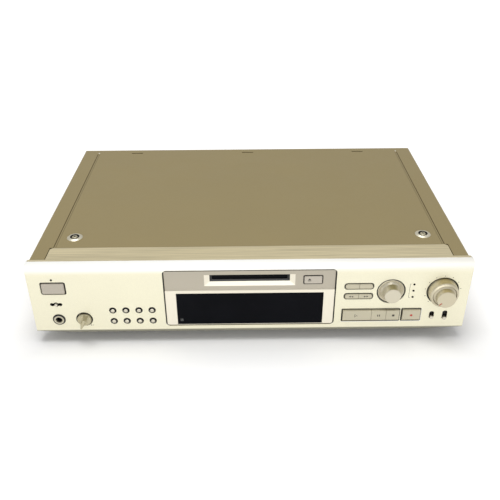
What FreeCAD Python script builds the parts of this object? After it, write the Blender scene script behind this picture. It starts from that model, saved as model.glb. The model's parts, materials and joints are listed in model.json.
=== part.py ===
import FreeCAD, Part
import math
import os
from collections import namedtuple

# Minidisc deck. Millimetres, +X to the viewer's right, +Y to the back, +Z up from the floor.
# Every piece is drawn with y = 0 on the main front face. save() then moves it so that the
# whole deck is centred front to back.

vec = FreeCAD.Vector
Arc = namedtuple("Arc", "mid end")

# Overall sizes
WIDTH = 430.0
HEIGHT = 95.0
BODY_DEPTH = 273.0
FOOT_HEIGHT = 11.0
KNOB_REACH = 15.5
JACK_REACH = 8.0

# Clearances
GAP = 0.4
RUN = 0.3
SEAT = 0.1
NOTCH_GAP = 0.8
BUTTON_GAP = 0.7
POWER_GAP = 0.9
KNOB_GAP = 0.7
BEZEL_GAP = 0.7

# Front panel
PANEL_WALL = 2.5
FLANGE_WALL = 2.0
FACE_BOTTOM = 15.5
NOSE_START = 81.2
NOSE_DEPTH = 4.6
CHIN_DEPTH = 3.2
CHIN_FLAT = 174.0
CORNER = 4.2
EDGE_ROUND = 1.4
PANEL_SIDE_DEPTH = 17.0
LIP_DEPTH = 8.0
TOE_HEIGHT = 5.0
FLANGE_HALF = 195.2
FLANGE_DEPTH = 29.2
FLANGE_CHAMFER = 2.5
LEDGE_REACH = 6.0
BOSS_X = 152.0
BOSS_HIGH_Z = 78.0
BOSS_LOW_Z = 20.0
MID_BOSS_Z = 44.0
BOSS_R = 2.6

# Sheet metal
COVER_WIDTH = 422.0
COVER_WALL = 1.0
COVER_BEND = 2.0
COVER_BOTTOM = 14.0
HEM_DROP = 10.0
GROOVE_X = 191.5
GROOVE_WIDTH = 2.8
GROOVE_DEEP = 0.5
GROOVE_END = 12.0
REAR_SLOT = (14.3, 2.2)
REAR_SLOT_PITCH = 142.0
REAR_SLOT_INSET = 9.7
CHASSIS_WALL = 1.2
CHASSIS_SIDE = 22.0
REAR_WALL = 1.0
REAR_FLANGE = 9.0
VENT_LONG = 36.0
VENT_WIDE = 3.0
VENT_ROWS = 6
VENT_FRONT = 118.0
VENT_PITCH = 14.0
REAR_VENTS = 9
REAR_VENT_PITCH = 10.0
REAR_VENT_WIDE = 3.0
REAR_VENT_Z = (52.0, 78.0)
REAR_VENT_X = -60.0

# Feet and screws
FOOT_X = 165.0
FOOT_FRONT = 48.0
FOOT_REAR = 232.0
FOOT_TOP_R = 20.0
FOOT_BASE_R = 17.5
FOOT_HOLLOW_R = 5.0
FOOT_BAND = 3.0
FOOT_WEB = 5.0
SCREW_HEAD_R = 2.9
SCREW_FACE_R = 2.2
SCREW_HEAD_H = 1.6
SCREW_SHANK_R = 1.5
SCREW_LONG = 6.0
ROSETTE_X = 175.6
ROSETTE_Y = 48.7
ROSETTE_R = 7.75
ROSETTE_RIM_R = 6.0
ROSETTE_CUP_R = 4.7
ROSETTE_H = 1.5
ROSETTE_EDGE = 0.5
SIDE_SCREW_Z = 26.0

# Front control board and its switches
BOARD_Y = 13.5
BOARD_WALL = 1.6
SWITCH_SIZE = 6.0
SWITCH_H = 3.5
PLUNGER_HALF = 1.6
PLUNGER_H = 0.8
TRAVEL = 0.6
BUTTON_FLANGE = 1.2
FLANGE_EDGE = 1.4
STEM_HALF = 1.4

# Power button, lamp, timer switch
POWER = (-202.1, -178.4, 60.0, 73.5)
POWER_ROUND = 1.6
POWER_REACH = 1.2
POWER_TRAVEL = 1.0
LAMP_R = 1.0
STANDBY = (-190.6, 76.6)
TIMER = (-190.2, 47.6)
TIMER_HALF = 6.0
TIMER_LOBE_R = 2.6
TIMER_END_R = 1.9
TIMER_TRAVEL = 3.6
NUB = 1.4
NUB_ROUND = 1.2

# Headphones jack and its level knob
PHONES = (-190.0, 29.4)
PHONES_NOSE_R = 5.9
PHONES_BUSH_R = 4.9
PHONES_BORE_R = 3.2
PHONES_BODY = 7.5
PHONES_DEEP = 24.0
LEVEL = (-164.8, 29.5)
LEVEL_R = 7.0
LEVEL_REACH = 9.0
LEVEL_START = 246.0

# Round buttons: two rows of four
ROUND_X = -135.6
ROUND_PITCH_X = 12.95
ROUND_Z = 39.8
ROUND_PITCH_Z = 13.0
ROUND_HOLE_R = 3.2
ROUND_CAP_R = 2.3
ROUND_REACH = 1.1
ROUND_BEVEL = 0.5
ROUND_NAMES = ("scroll", "time", "fader", "display", "continue", "shuffle", "program", "repeat")

# Centre bezel, window, disc slot, eject button
BEZEL_HALF = 84.0
BEZEL_BOTTOM = 20.0
BEZEL_TOP = 85.7
BEZEL_ROUND = 4.0
BEZEL_SET = 0.6
BEZEL_STEP_Z = 62.6
BEZEL_STEP = 1.1
BEZEL_BACK = 4.8
WINDOW = (-72.0, 72.0, 21.4, 58.5)
WINDOW_WALL = 2.0
WINDOW_LEDGE = 3.5
SLOT_WIDTH = 73.4
SLOT_BOTTOM = 73.0
SLOT_TOP = 79.6
SLOT_Y = 4.0
FUNNEL_HALF = 44.3
FUNNEL_BOTTOM = 66.6
EJECT = (52.2, 70.7, 68.3, 78.0)
EJECT_REACH = 0.6
DOOR_WALL = 1.0
DOOR_LAP = 0.7
DOOR_PIN_R = 0.9
DOOR_PIN = 2.0

# Oblong button pairs, transport keys
PAIR_X = (92.3, 106.4, 120.4)
MENU_Z = (62.5, 69.2)
SEARCH_Z = (50.8, 57.5)
PAIR_REACH = 0.9
KEYS_Z = (23.9, 38.4)
KEY_X = (91.5, 120.6, 135.2, 149.0)
RECORD_X = (151.0, 169.9)
KEY_REACH = 2.4
KEY_BEVEL = 2.0

# Jog dial and record level knob
JOG = (137.95, 59.45)
JOG_HOLE_R = 13.55
JOG_REACH = 9.1
JOG_GRIP_R = 9.0
JOG_FACE_R = 7.9
JOG_TRAVEL = 1.0
SHAFT_R = 3.0
RECORD = (188.3, 59.2)
RECORD_HOLE_R = 15.2
RING_R = 14.5
RING_BORE_R = 11.6
RING_REACH = 9.0
INNER_FACE_R = 9.1

# Slide switches and input lamps
MODE_SLOT = (179.0, 183.8, 25.9, 34.7)
INPUT_SLOT = (192.0, 197.0, 24.7, 35.4)
SLIDE_NUB = 3.2
INPUT_LAMP_X = 159.7
INPUT_LAMP_Z = (67.3, 59.9, 52.5)

# Disc drive
DISC_WIDTH = 72.0
DISC_LONG = 68.0
DISC_THICK = 5.0
HOLDER_FRONT = 18.5
HOLDER_SLACK = 0.4
HOLDER_WALL = 1.0
LIP_WIDTH = 7.0
HOLDER_DROP = 6.0
SLIDER_STROKE = 18.0
PIN_R = 1.5
PIN_FRONT = 32.0
PIN_REAR = 76.0
FRAME_WALL = 1.2
FRAME_BACK = 146.0
DECK_Z = 61.0
LEG_WIDTH = 10.0
FOOTING = 8.0
SPINDLE_R = 8.5
STATOR_R = 9.0
LENS_X = 14.6
TOWER_R = 4.4
SLED_TRAVEL = 16.0
RAIL_R = 1.5
RAIL_FRONT = 39.0
RAIL_REAR = 68.0
RAIL_Z = 56.0
ARM_Z = 83.2
ARM_WALL = 1.4
ARM_RISE = 3.4

# Gears of the drive
RACK_MODULE = 0.8
RACK_TEETH = 12
WHEEL_MODULE = 0.6
WHEEL_TEETH = 34
PINION_TEETH = 12
TOOTH_PLAY = 0.16
PRESSURE = math.radians(20)

# Rear sockets
JACK_SHELL_R = 4.15
JACK_BORE_R = 3.4
JACK_HOLE_R = 1.6
JACK_WELL = 5.0
JACK_DEEP = 6.0
JACK_X = (140.0, 160.0)
JACK_Z = (32.0, 47.0)
OPTICAL_X = (88.0, 108.0)
OPTICAL_Z = 32.0
OPTICAL_OPEN = 9.4
INLET = (-168.0, 40.0)
INLET_PITCH = 8.6

# Electronics
MAIN_BOARD = (80.0, 204.0, 50.0, 256.0)
MAIN_BOARD_Z = 22.0
POST_HALF = 2.6
CORE = (66.0, 52.0, 56.0)
CORE_AT = (-150.0, 190.0)

# Worked out from the sizes above
BACK_Y = BODY_DEPTH
REAR_OUT = BODY_DEPTH - COVER_WALL - RUN
REAR_IN = REAR_OUT - REAR_WALL
SHIFT_Y = (KNOB_REACH - REAR_OUT - JACK_REACH) / 2
CAVITY_HALF = COVER_WIDTH / 2 + GAP
TOE_TOP = FACE_BOTTOM + TOE_HEIGHT
CHASSIS_TOP = FOOT_HEIGHT + CHASSIS_WALL
CHASSIS_HALF = COVER_WIDTH / 2 - COVER_WALL - RUN
FLANGE_FRONT = PANEL_WALL + RUN
FLANGE_BACK = FLANGE_FRONT + BUTTON_FLANGE
PLUNGER_Y = BOARD_Y - SWITCH_H - PLUNGER_H
SLOT_MID_Z = (SLOT_BOTTOM + SLOT_TOP) / 2
DOOR_Y = BEZEL_BACK + RUN
HOLDER_HALF = DISC_WIDTH / 2 + HOLDER_SLACK
HOLDER_LOW = SLOT_MID_Z - DISC_THICK / 2 - HOLDER_SLACK / 2
HOLDER_HIGH = SLOT_MID_Z + DISC_THICK / 2 + HOLDER_SLACK / 2
HOLDER_BACK = HOLDER_FRONT + DISC_LONG + 1.5
DISC_Y = HOLDER_FRONT + DISC_LONG / 2
DECK_TOP = DECK_Z + FRAME_WALL
WALL_X = HOLDER_HALF + HOLDER_WALL + 1.0
SLIDE_X = WALL_X + FRAME_WALL + 0.6


def block(x0, x1, y0, y1, z0, z1):
    """Rectangular block between two corners."""
    return Part.makeBox(x1 - x0, y1 - y0, z1 - z0, vec(x0, y0, z0))


def rod_x(x0, x1, y, z, r):
    return Part.makeCylinder(r, x1 - x0, vec(x0, y, z), vec(1, 0, 0))


def rod_y(x, z, y0, y1, r):
    return Part.makeCylinder(r, y1 - y0, vec(x, y0, z), vec(0, 1, 0))


def rod_z(x, y, z0, z1, r):
    return Part.makeCylinder(r, z1 - z0, vec(x, y, z0), vec(0, 0, 1))


def face_from(path, place):
    """Flat face inside a closed path of corners and arcs. place turns a 2-D point into a vector."""
    edges = []
    first = place(*path[0])
    here = first
    for step in path[1:] + [path[0]]:
        if isinstance(step, Arc):
            end = place(*step.end)
            edges.append(Part.Arc(here, place(*step.mid), end).toShape())
            here = end
        elif (place(*step) - here).Length > 1e-6:
            edges.append(Part.LineSegment(here, place(*step)).toShape())
            here = place(*step)
    return Part.Face(Part.Wire(edges))


def prism_x(path, x0, x1):
    """Prism along X over a path of (y, z)."""
    return face_from(path, lambda y, z: vec(x0, y, z)).extrude(vec(x1 - x0, 0, 0))


def prism_y(path, y0, y1):
    """Prism along Y over a path of (x, z)."""
    return face_from(path, lambda x, z: vec(x, y0, z)).extrude(vec(0, y1 - y0, 0))


def prism_z(path, z0, z1):
    """Prism along Z over a path of (x, y)."""
    return face_from(path, lambda x, y: vec(x, y, z0)).extrude(vec(0, 0, z1 - z0))


def turned_y(x, z, path):
    """Solid turned about a line along Y, over a path of (radius, y)."""
    return face_from(path, lambda r, y: vec(x + r, y, z)).revolve(vec(x, 0, z), vec(0, 1, 0), 360)


def turned_z(x, y, path):
    """Solid turned about a line along Z, over a path of (radius, z)."""
    return face_from(path, lambda r, z: vec(x + r, y, z)).revolve(vec(x, y, 0), vec(0, 0, 1), 360)


def round_path(x0, x1, z0, z1, r):
    """Rectangle with corners of radius r."""
    bend = r * (1 - math.sqrt(0.5))
    return [
        (x0 + r, z0),
        (x1 - r, z0),
        Arc((x1 - bend, z0 + bend), (x1, z0 + r)),
        (x1, z1 - r),
        Arc((x1 - bend, z1 - bend), (x1 - r, z1)),
        (x0 + r, z1),
        Arc((x0 + bend, z1 - bend), (x0, z1 - r)),
        (x0, z0 + r),
        Arc((x0 + bend, z0 + bend), (x0 + r, z0)),
    ]


def plate_y(x0, x1, z0, z1, r, y0, y1):
    """Plate that faces the front, with round corners."""
    return prism_y(round_path(x0, x1, z0, z1, r), y0, y1)


def joined(pieces):
    """One solid out of pieces that touch or overlap."""
    whole = pieces[0]
    for piece in pieces[1:]:
        whole = whole.fuse(piece)
    return whole.removeSplitter()


def without(shape, tools):
    return shape.cut(Part.makeCompound(tools)) if tools else shape


def save(node, shapes):
    """Write one node, as one solid or a group of separate solids."""
    group = shapes if isinstance(shapes, list) else [shapes]
    solids = [solid for shape in group for solid in shape.Solids]
    for solid in solids:
        if not solid.isValid() or solid.Volume <= 0:
            print("check", node, solid.isValid(), solid.Volume)
    whole = Part.makeCompound(solids) if len(solids) > 1 else solids[0]
    whole = whole.translated(vec(0, SHIFT_Y, 0))
    whole.exportStep(os.path.join("parts", node + ".step"))
    print(node, len(solids), "solid(s)")


# Front panel

def nose_point(radius, centre_y, z):
    """Point at height z on an arc of the nose."""
    return (centre_y - math.sqrt(radius ** 2 - (z - NOSE_START) ** 2), z)


def nose_radius():
    rise = HEIGHT - NOSE_START
    return (NOSE_DEPTH ** 2 + rise ** 2) / (2 * NOSE_DEPTH)


def panel_outer():
    """Section of the panel's outside, (y, z)."""
    radius = nose_radius()
    middle = (NOSE_START + HEIGHT) / 2
    return [
        (CHIN_DEPTH, FOOT_HEIGHT),
        (0, FACE_BOTTOM),
        (0, NOSE_START),
        Arc(nose_point(radius, radius, middle), (NOSE_DEPTH, HEIGHT)),
        (PANEL_SIDE_DEPTH, HEIGHT),
        (PANEL_SIDE_DEPTH, FOOT_HEIGHT),
    ]


def panel_inner():
    """Section of the hollow behind the panel, (y, z)."""
    radius = nose_radius()
    inner = radius - PANEL_WALL
    top = HEIGHT - FLANGE_WALL
    floor = FOOT_HEIGHT + FLANGE_WALL
    middle = (NOSE_START + top) / 2
    return [
        (CHIN_DEPTH + PANEL_WALL, floor),
        (PANEL_WALL, FACE_BOTTOM + FLANGE_WALL / 2),
        (PANEL_WALL, NOSE_START),
        Arc(nose_point(inner, radius, middle), nose_point(inner, radius, top)),
        (PANEL_SIDE_DEPTH + 1, top),
        (PANEL_SIDE_DEPTH + 1, floor),
    ]


def panel_outline(half, top, corner, lift):
    """Front view of the panel: round upper corners and an underside that rises to the ends."""
    slope = (FACE_BOTTOM - FOOT_HEIGHT) / (WIDTH / 2 - CHIN_FLAT)
    bend = corner * (1 - math.sqrt(0.5))
    low = FOOT_HEIGHT + lift
    end = low + (half - CHIN_FLAT) * slope
    return [
        (-half, end),
        (-CHIN_FLAT, low),
        (CHIN_FLAT, low),
        (half, end),
        (half, top - corner),
        Arc((half - bend, top - bend), (half - corner, top)),
        (-half + corner, top),
        Arc((-half + bend, top - bend), (-half, top - corner)),
    ]


def panel_plan():
    """View from above: the two upright front edges are rounded."""
    half = WIDTH / 2
    bend = EDGE_ROUND * (1 - math.sqrt(0.5))
    return [
        (-half, EDGE_ROUND),
        Arc((-half + bend, bend), (-half + EDGE_ROUND, 0)),
        (half - EDGE_ROUND, 0),
        Arc((half - bend, bend), (half, EDGE_ROUND)),
        (half, PANEL_SIDE_DEPTH),
        (-half, PANEL_SIDE_DEPTH),
    ]


def through(path):
    """Opening of the given front view through the panel's wall."""
    return prism_y(path, -1, PANEL_WALL + 2)


def hole(place, r):
    return rod_y(place[0], place[1], -1, PANEL_WALL + 2, r)


def timer_slot():
    """Slot with a lobe for each of its three places."""
    x, z = TIMER
    ends = TIMER_HALF - TIMER_END_R
    bar_half = TIMER_END_R - 0.3
    bar = through(round_path(x - TIMER_HALF, x + TIMER_HALF, z - bar_half, z + bar_half, 1.2))
    lobes = [hole((x, z), TIMER_LOBE_R), hole((x - ends, z), TIMER_END_R), hole((x + ends, z), TIMER_END_R)]
    return joined([bar] + lobes)


def round_places():
    """Centres of the round buttons, row by row."""
    return [
        (ROUND_X + (i % 4) * ROUND_PITCH_X, ROUND_Z - (i // 4) * ROUND_PITCH_Z)
        for i in range(len(ROUND_NAMES))
    ]


def slot_path(slot):
    x0, x1, z0, z1 = slot
    return round_path(x0, x1, z0, z1, (x1 - x0) / 2 - 0.2)


def lamp_places():
    return [STANDBY] + [(INPUT_LAMP_X, z) for z in INPUT_LAMP_Z]


def panel_openings():
    pair_round = (MENU_Z[1] - MENU_Z[0]) / 2
    cuts = [
        through(round_path(*POWER, POWER_ROUND)),
        timer_slot(),
        hole(PHONES, PHONES_NOSE_R + SEAT),
        hole(LEVEL, LEVEL_R + BUTTON_GAP),
        through(round_path(-BEZEL_HALF, BEZEL_HALF, BEZEL_BOTTOM, BEZEL_TOP, BEZEL_ROUND)),
        through(round_path(PAIR_X[0], PAIR_X[2], *MENU_Z, pair_round - 0.6)),
        through(round_path(PAIR_X[0], PAIR_X[2], *SEARCH_Z, pair_round - 0.6)),
        through(round_path(KEY_X[0], KEY_X[-1], *KEYS_Z, 0.5)),
        through(round_path(*RECORD_X, *KEYS_Z, 0.5)),
        hole(JOG, JOG_HOLE_R),
        hole(RECORD, RECORD_HOLE_R),
        through(slot_path(MODE_SLOT)),
        through(slot_path(INPUT_SLOT)),
    ]
    cuts += [hole(place, ROUND_HOLE_R) for place in round_places()]
    cuts += [hole(place, LAMP_R + SEAT) for place in lamp_places()]
    return cuts


def boss_places():
    upper = [(side * BOSS_X, BOSS_HIGH_Z) for side in (-1, 1)]
    return upper + [(-BOSS_X, BOSS_LOW_Z), (RECORD_X[1] + BOSS_R, MID_BOSS_Z)]


def front_panel():
    half = WIDTH / 2
    body = prism_x(panel_outer(), -half, half)
    body = body.common(prism_y(panel_outline(half, HEIGHT, CORNER, 0), 0, PANEL_SIDE_DEPTH))
    body = body.common(prism_z(panel_plan(), 0, HEIGHT))
    hollow = prism_x(panel_inner(), -CAVITY_HALF, CAVITY_HALF)
    inside = panel_outline(CAVITY_HALF, HEIGHT - FLANGE_WALL, 1.0, FLANGE_WALL)
    hollow = hollow.common(prism_y(inside, 0, PANEL_SIDE_DEPTH + 1))
    behind_lip = block(-half - 1, half + 1, LIP_DEPTH, PANEL_SIDE_DEPTH + 1, TOE_TOP - GAP, HEIGHT + 1)
    body = without(body, [hollow, behind_lip])
    tongue = prism_z(
        [
            (-FLANGE_HALF, NOSE_DEPTH + 2),
            (FLANGE_HALF, NOSE_DEPTH + 2),
            (FLANGE_HALF, FLANGE_DEPTH - FLANGE_CHAMFER),
            (FLANGE_HALF - FLANGE_CHAMFER, FLANGE_DEPTH),
            (-FLANGE_HALF + FLANGE_CHAMFER, FLANGE_DEPTH),
            (-FLANGE_HALF, FLANGE_DEPTH - FLANGE_CHAMFER),
        ],
        HEIGHT - FLANGE_WALL,
        HEIGHT,
    )
    ledge_top = HEIGHT - COVER_WALL - RUN
    ledge = block(
        -FLANGE_HALF + 8, FLANGE_HALF - 8, FLANGE_DEPTH - 6, FLANGE_DEPTH + LEDGE_REACH, ledge_top - 1.5, ledge_top
    )
    bosses = [rod_y(x, z, PANEL_WALL - 0.5, BOARD_Y, BOSS_R) for x, z in boss_places()]
    return without(joined([body, tongue, ledge] + bosses), panel_openings())


# Cover, chassis, rear panel, feet, screws

def top_cover():
    half = COVER_WIDTH / 2
    front = LIP_DEPTH + GAP
    wall = COVER_WALL
    bend = COVER_BEND * (1 - math.sqrt(0.5))
    inner = COVER_BEND - wall
    inner_bend = inner * (1 - math.sqrt(0.5))
    section = [
        (-half, COVER_BOTTOM),
        (-half + wall, COVER_BOTTOM),
        (-half + wall, HEIGHT - COVER_BEND),
        Arc((-half + wall + inner_bend, HEIGHT - wall - inner_bend), (-half + COVER_BEND, HEIGHT - wall)),
        (half - COVER_BEND, HEIGHT - wall),
        Arc((half - wall - inner_bend, HEIGHT - wall - inner_bend), (half - wall, HEIGHT - COVER_BEND)),
        (half - wall, COVER_BOTTOM),
        (half, COVER_BOTTOM),
        (half, HEIGHT - COVER_BEND),
        Arc((half - bend, HEIGHT - bend), (half - COVER_BEND, HEIGHT)),
        (-half + COVER_BEND, HEIGHT),
        Arc((-half + bend, HEIGHT - bend), (-half, HEIGHT - COVER_BEND)),
    ]
    shell = prism_y(section, front, BACK_Y)
    hem = block(-half + wall, half - wall, BACK_Y - wall, BACK_Y, HEIGHT - HEM_DROP, HEIGHT - wall)
    notch_half = FLANGE_HALF + NOTCH_GAP
    notch = block(-notch_half, notch_half, 0, FLANGE_DEPTH + GAP, HEIGHT - 3, HEIGHT + 1)
    toe = block(-half - 1, half + 1, 0, PANEL_SIDE_DEPTH + GAP, 0, TOE_TOP)
    cuts = [notch, toe]
    for side in (-1, 1):
        x = side * GROOVE_X
        cuts.append(
            block(
                x - GROOVE_WIDTH / 2, x + GROOVE_WIDTH / 2, FLANGE_DEPTH + GAP, BACK_Y - GROOVE_END,
                HEIGHT - GROOVE_DEEP, HEIGHT + 1
            )
        )
        cuts.append(rod_z(side * ROSETTE_X, ROSETTE_Y, HEIGHT - 3, HEIGHT + 1, SCREW_SHANK_R + RUN))
        for y in side_screw_ys():
            cuts.append(rod_x(side * half - 2, side * half + 2, y, SIDE_SCREW_Z, SCREW_SHANK_R + RUN))
    for i in (-1, 0, 1):
        x = i * REAR_SLOT_PITCH
        y = BACK_Y - REAR_SLOT_INSET
        long, wide = REAR_SLOT
        cuts.append(block(x - long / 2, x + long / 2, y - wide / 2, y + wide / 2, HEIGHT - 3, HEIGHT + 1))
        cuts.append(rod_y(rear_screw_x(i), HEIGHT - HEM_DROP / 2, BACK_Y - 3, BACK_Y + 1, SCREW_SHANK_R + RUN))
    return without(joined([shell, hem]), cuts)


def side_screw_ys():
    return (FOOT_FRONT + 14, FOOT_REAR - 14)


def rear_screw_x(i):
    return i * 180.0


def foot_places():
    return [(x, y) for x in (-FOOT_X, FOOT_X) for y in (FOOT_FRONT, FOOT_REAR)]


def standoff_places():
    x0, x1, y0, y1 = MAIN_BOARD
    return [(x, y) for x in (x0 + 8, x1 - 8) for y in (y0 + 8, y1 - 20)]


def bottom_chassis():
    half = CHASSIS_HALF
    wall = CHASSIS_WALL
    front = PANEL_SIDE_DEPTH + GAP
    back = REAR_IN - RUN
    top = FOOT_HEIGHT + CHASSIS_SIDE
    section = [
        (-half, FOOT_HEIGHT),
        (half, FOOT_HEIGHT),
        (half, top),
        (half - wall, top),
        (half - wall, CHASSIS_TOP),
        (-half + wall, CHASSIS_TOP),
        (-half + wall, top),
        (-half, top),
    ]
    pan = prism_y(section, front, back)
    lip = block(-half + 20, half - 20, front, front + wall, FOOT_HEIGHT, FOOT_HEIGHT + 8)
    posts = [
        block(x - POST_HALF, x + POST_HALF, y - POST_HALF, y + POST_HALF, FOOT_HEIGHT, MAIN_BOARD_Z)
        for x, y in standoff_places()
    ]
    cuts = [rod_z(x, y, FOOT_HEIGHT - 1, CHASSIS_TOP + 1, SCREW_SHANK_R + SEAT) for x, y in foot_places()]
    for side in (-1, 1):
        for y in side_screw_ys():
            cuts.append(rod_x(side * half - 3, side * half + 3, y, SIDE_SCREW_Z, SCREW_SHANK_R + SEAT))
    for group_x in (CORE_AT[0] + 10, (MAIN_BOARD[0] + MAIN_BOARD[1]) / 2 - 10):
        for i in range(VENT_ROWS):
            y = VENT_FRONT + i * VENT_PITCH
            cuts.append(
                block(
                    group_x - VENT_LONG / 2, group_x + VENT_LONG / 2, y, y + VENT_WIDE,
                    FOOT_HEIGHT - 1, CHASSIS_TOP + 1
                )
            )
    return without(joined([pan, lip] + posts), cuts)


def optical_places():
    return [(x, OPTICAL_Z) for x in OPTICAL_X]


def jack_places():
    return [(x, z) for x in JACK_X for z in JACK_Z]


def jack_block_path(grow):
    return round_path(
        JACK_X[0] - 9 - grow, JACK_X[1] + 9 + grow, JACK_Z[0] - 8 - grow, JACK_Z[1] + 8 + grow, 1.0
    )


def inlet_path(grow):
    x, z = INLET
    return round_path(x - 13 - grow, x + 13 + grow, z - 8 - grow, z + 8 + grow, 2.0)


def optical_path(place, grow):
    x, z = place
    half = OPTICAL_OPEN / 2 + 1.8 + grow
    return round_path(x - half, x + half, z - half, z + half, 0.8)


def rear_panel():
    half = CHASSIS_HALF
    low = CHASSIS_TOP + RUN
    top = HEIGHT - COVER_WALL - RUN
    sheet = block(-half, half, REAR_IN, REAR_OUT, low, top)
    foot = block(-half + 6, half - 6, REAR_IN - REAR_FLANGE, REAR_IN, low, low + REAR_WALL)
    head = block(-half + 6, half - 6, REAR_IN - REAR_FLANGE, REAR_IN, top - REAR_WALL, top)
    cuts = [
        prism_y(jack_block_path(SEAT), REAR_IN - 1, REAR_OUT + 1),
        prism_y(inlet_path(SEAT), REAR_IN - 1, REAR_OUT + 1),
    ]
    cuts += [prism_y(optical_path(place, SEAT), REAR_IN - 1, REAR_OUT + 1) for place in optical_places()]
    for i in (-1, 0, 1):
        cuts.append(rod_y(rear_screw_x(i), HEIGHT - HEM_DROP / 2, REAR_IN - 1, REAR_OUT + 1, SCREW_SHANK_R + SEAT))
    for i in range(REAR_VENTS):
        x = REAR_VENT_X + i * REAR_VENT_PITCH
        cuts.append(block(x, x + REAR_VENT_WIDE, REAR_IN - 1, REAR_OUT + 1, *REAR_VENT_Z))
    return without(joined([sheet, foot, head]), cuts)


def foot(x, y):
    """Turned foot with a hollow for its screw, standing on a ring."""
    return turned_z(
        x, y,
        [
            (SCREW_SHANK_R + SEAT, FOOT_HEIGHT),
            (FOOT_TOP_R, FOOT_HEIGHT),
            (FOOT_TOP_R, FOOT_HEIGHT - FOOT_BAND),
            (FOOT_BASE_R, 0),
            (FOOT_HOLLOW_R, 0),
            (FOOT_HOLLOW_R, FOOT_HEIGHT - FOOT_WEB),
            (SCREW_SHANK_R + SEAT, FOOT_HEIGHT - FOOT_WEB),
        ],
    )


def screw(length):
    """Pan-head screw standing on the floor plane, shank down."""
    slope = SCREW_HEAD_R - SCREW_FACE_R
    head = Part.makeCone(SCREW_HEAD_R, SCREW_FACE_R, slope, vec(0, 0, SCREW_HEAD_H - slope), vec(0, 0, 1))
    rim = rod_z(0, 0, 0, SCREW_HEAD_H - slope, SCREW_HEAD_R)
    return joined([rim, head, rod_z(0, 0, -length, 0, SCREW_SHANK_R)])


def placed(shape, place, axis, angle):
    copy = shape.copy()
    copy.rotate(vec(0, 0, 0), vec(*axis), angle)
    return copy.translated(vec(*place))


def cover_screws():
    half = COVER_WIDTH / 2
    made = [
        placed(screw(SCREW_LONG), (side * ROSETTE_X, ROSETTE_Y, HEIGHT + SEAT), (0, 0, 1), 20)
        for side in (-1, 1)
    ]
    for side in (-1, 1):
        for y in side_screw_ys():
            made.append(placed(screw(SCREW_LONG), (side * half, y, SIDE_SCREW_Z), (0, 1, 0), side * 90))
    for i in (-1, 0, 1):
        made.append(placed(screw(SCREW_LONG), (rear_screw_x(i), BACK_Y, HEIGHT - HEM_DROP / 2), (1, 0, 0), -90))
    for x, y in foot_places():
        made.append(placed(screw(SCREW_LONG + 1), (x, y, FOOT_HEIGHT - FOOT_WEB), (1, 0, 0), 180))
    return made


def screw_rosette(x):
    """Cup washer with a raised rim round the screw's head."""
    return turned_z(
        x, ROSETTE_Y,
        [
            (SCREW_HEAD_R + RUN, HEIGHT),
            (ROSETTE_R, HEIGHT),
            (ROSETTE_R, HEIGHT + ROSETTE_EDGE),
            (ROSETTE_RIM_R, HEIGHT + ROSETTE_H),
            (ROSETTE_CUP_R, HEIGHT + ROSETTE_H),
            (SCREW_HEAD_R + RUN, HEIGHT + ROSETTE_EDGE),
        ],
    )


# Centre bezel, window and disc slot door

def bezel_front():
    """Section of the bezel's front, (y, z): the upper part is set back behind a bevel."""
    z0 = BEZEL_BOTTOM + BEZEL_GAP
    z1 = BEZEL_TOP - BEZEL_GAP
    return [
        (BEZEL_SET, z0),
        (BEZEL_SET, BEZEL_STEP_Z - BEZEL_STEP),
        (BEZEL_SET + BEZEL_STEP, BEZEL_STEP_Z),
        (BEZEL_SET + BEZEL_STEP, z1),
        (BEZEL_BACK, z1),
        (BEZEL_BACK, z0),
    ]


def funnel():
    """Funnel that narrows to the slot. It has no bevel at its top."""
    face = BEZEL_SET + BEZEL_STEP
    wires = []
    for half, y, low in ((FUNNEL_HALF, face, FUNNEL_BOTTOM), (SLOT_WIDTH / 2, SLOT_Y, SLOT_BOTTOM)):
        ring = [vec(-half, y, low), vec(half, y, low), vec(half, y, SLOT_TOP), vec(-half, y, SLOT_TOP)]
        wires.append(Part.makePolygon(ring + [ring[0]]))
    return Part.makeLoft(wires, True, True)


def door_pivot():
    return (DOOR_Y + DOOR_WALL / 2 + 0.4, SLOT_TOP + DOOR_LAP + 0.6)


def center_bezel():
    half = BEZEL_HALF - BEZEL_GAP
    plate = prism_x(bezel_front(), -half, half)
    low = BEZEL_BOTTOM + BEZEL_GAP
    corners = plate_y(-half, half, low, BEZEL_TOP - BEZEL_GAP, BEZEL_ROUND - BEZEL_GAP, 0, BEZEL_BACK)
    plate = plate.common(corners)
    lap = 2.0
    rim_path = round_path(-BEZEL_HALF - lap, BEZEL_HALF + lap, BEZEL_BOTTOM - lap, BEZEL_TOP + lap / 2, BEZEL_ROUND)
    rim = prism_y(rim_path, PANEL_WALL + 0.8, BEZEL_BACK)
    pivot_y, pivot_z = door_pivot()
    ears = []
    for side in (-1, 1):
        x = side * (SLOT_WIDTH / 2 + 2.2)
        ears.append(block(x - 0.9, x + 0.9, BEZEL_BACK - 1, pivot_y + 2, pivot_z - 2, pivot_z + 2))
    body = joined([plate, rim] + ears)
    x0, x1, z0, z1 = WINDOW
    pocket = block(x0 - RUN, x1 + RUN, 0, BEZEL_SET + 0.4 + WINDOW_WALL + SEAT, z0 - RUN, z1 + RUN)
    light = block(x0 + WINDOW_LEDGE, x1 - WINDOW_LEDGE, 0, BEZEL_BACK + 1, z0 + WINDOW_LEDGE, z1 - WINDOW_LEDGE)
    eject = prism_y(round_path(*EJECT, 1.4), 0, BEZEL_BACK + 1)
    slot = block(-SLOT_WIDTH / 2, SLOT_WIDTH / 2, SLOT_Y - 1, BEZEL_BACK + 1, SLOT_BOTTOM, SLOT_TOP)
    pins = rod_x(-60, 60, pivot_y, pivot_z, DOOR_PIN_R + RUN)
    return without(body, [funnel(), pocket, light, eject, slot, pins])


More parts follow.
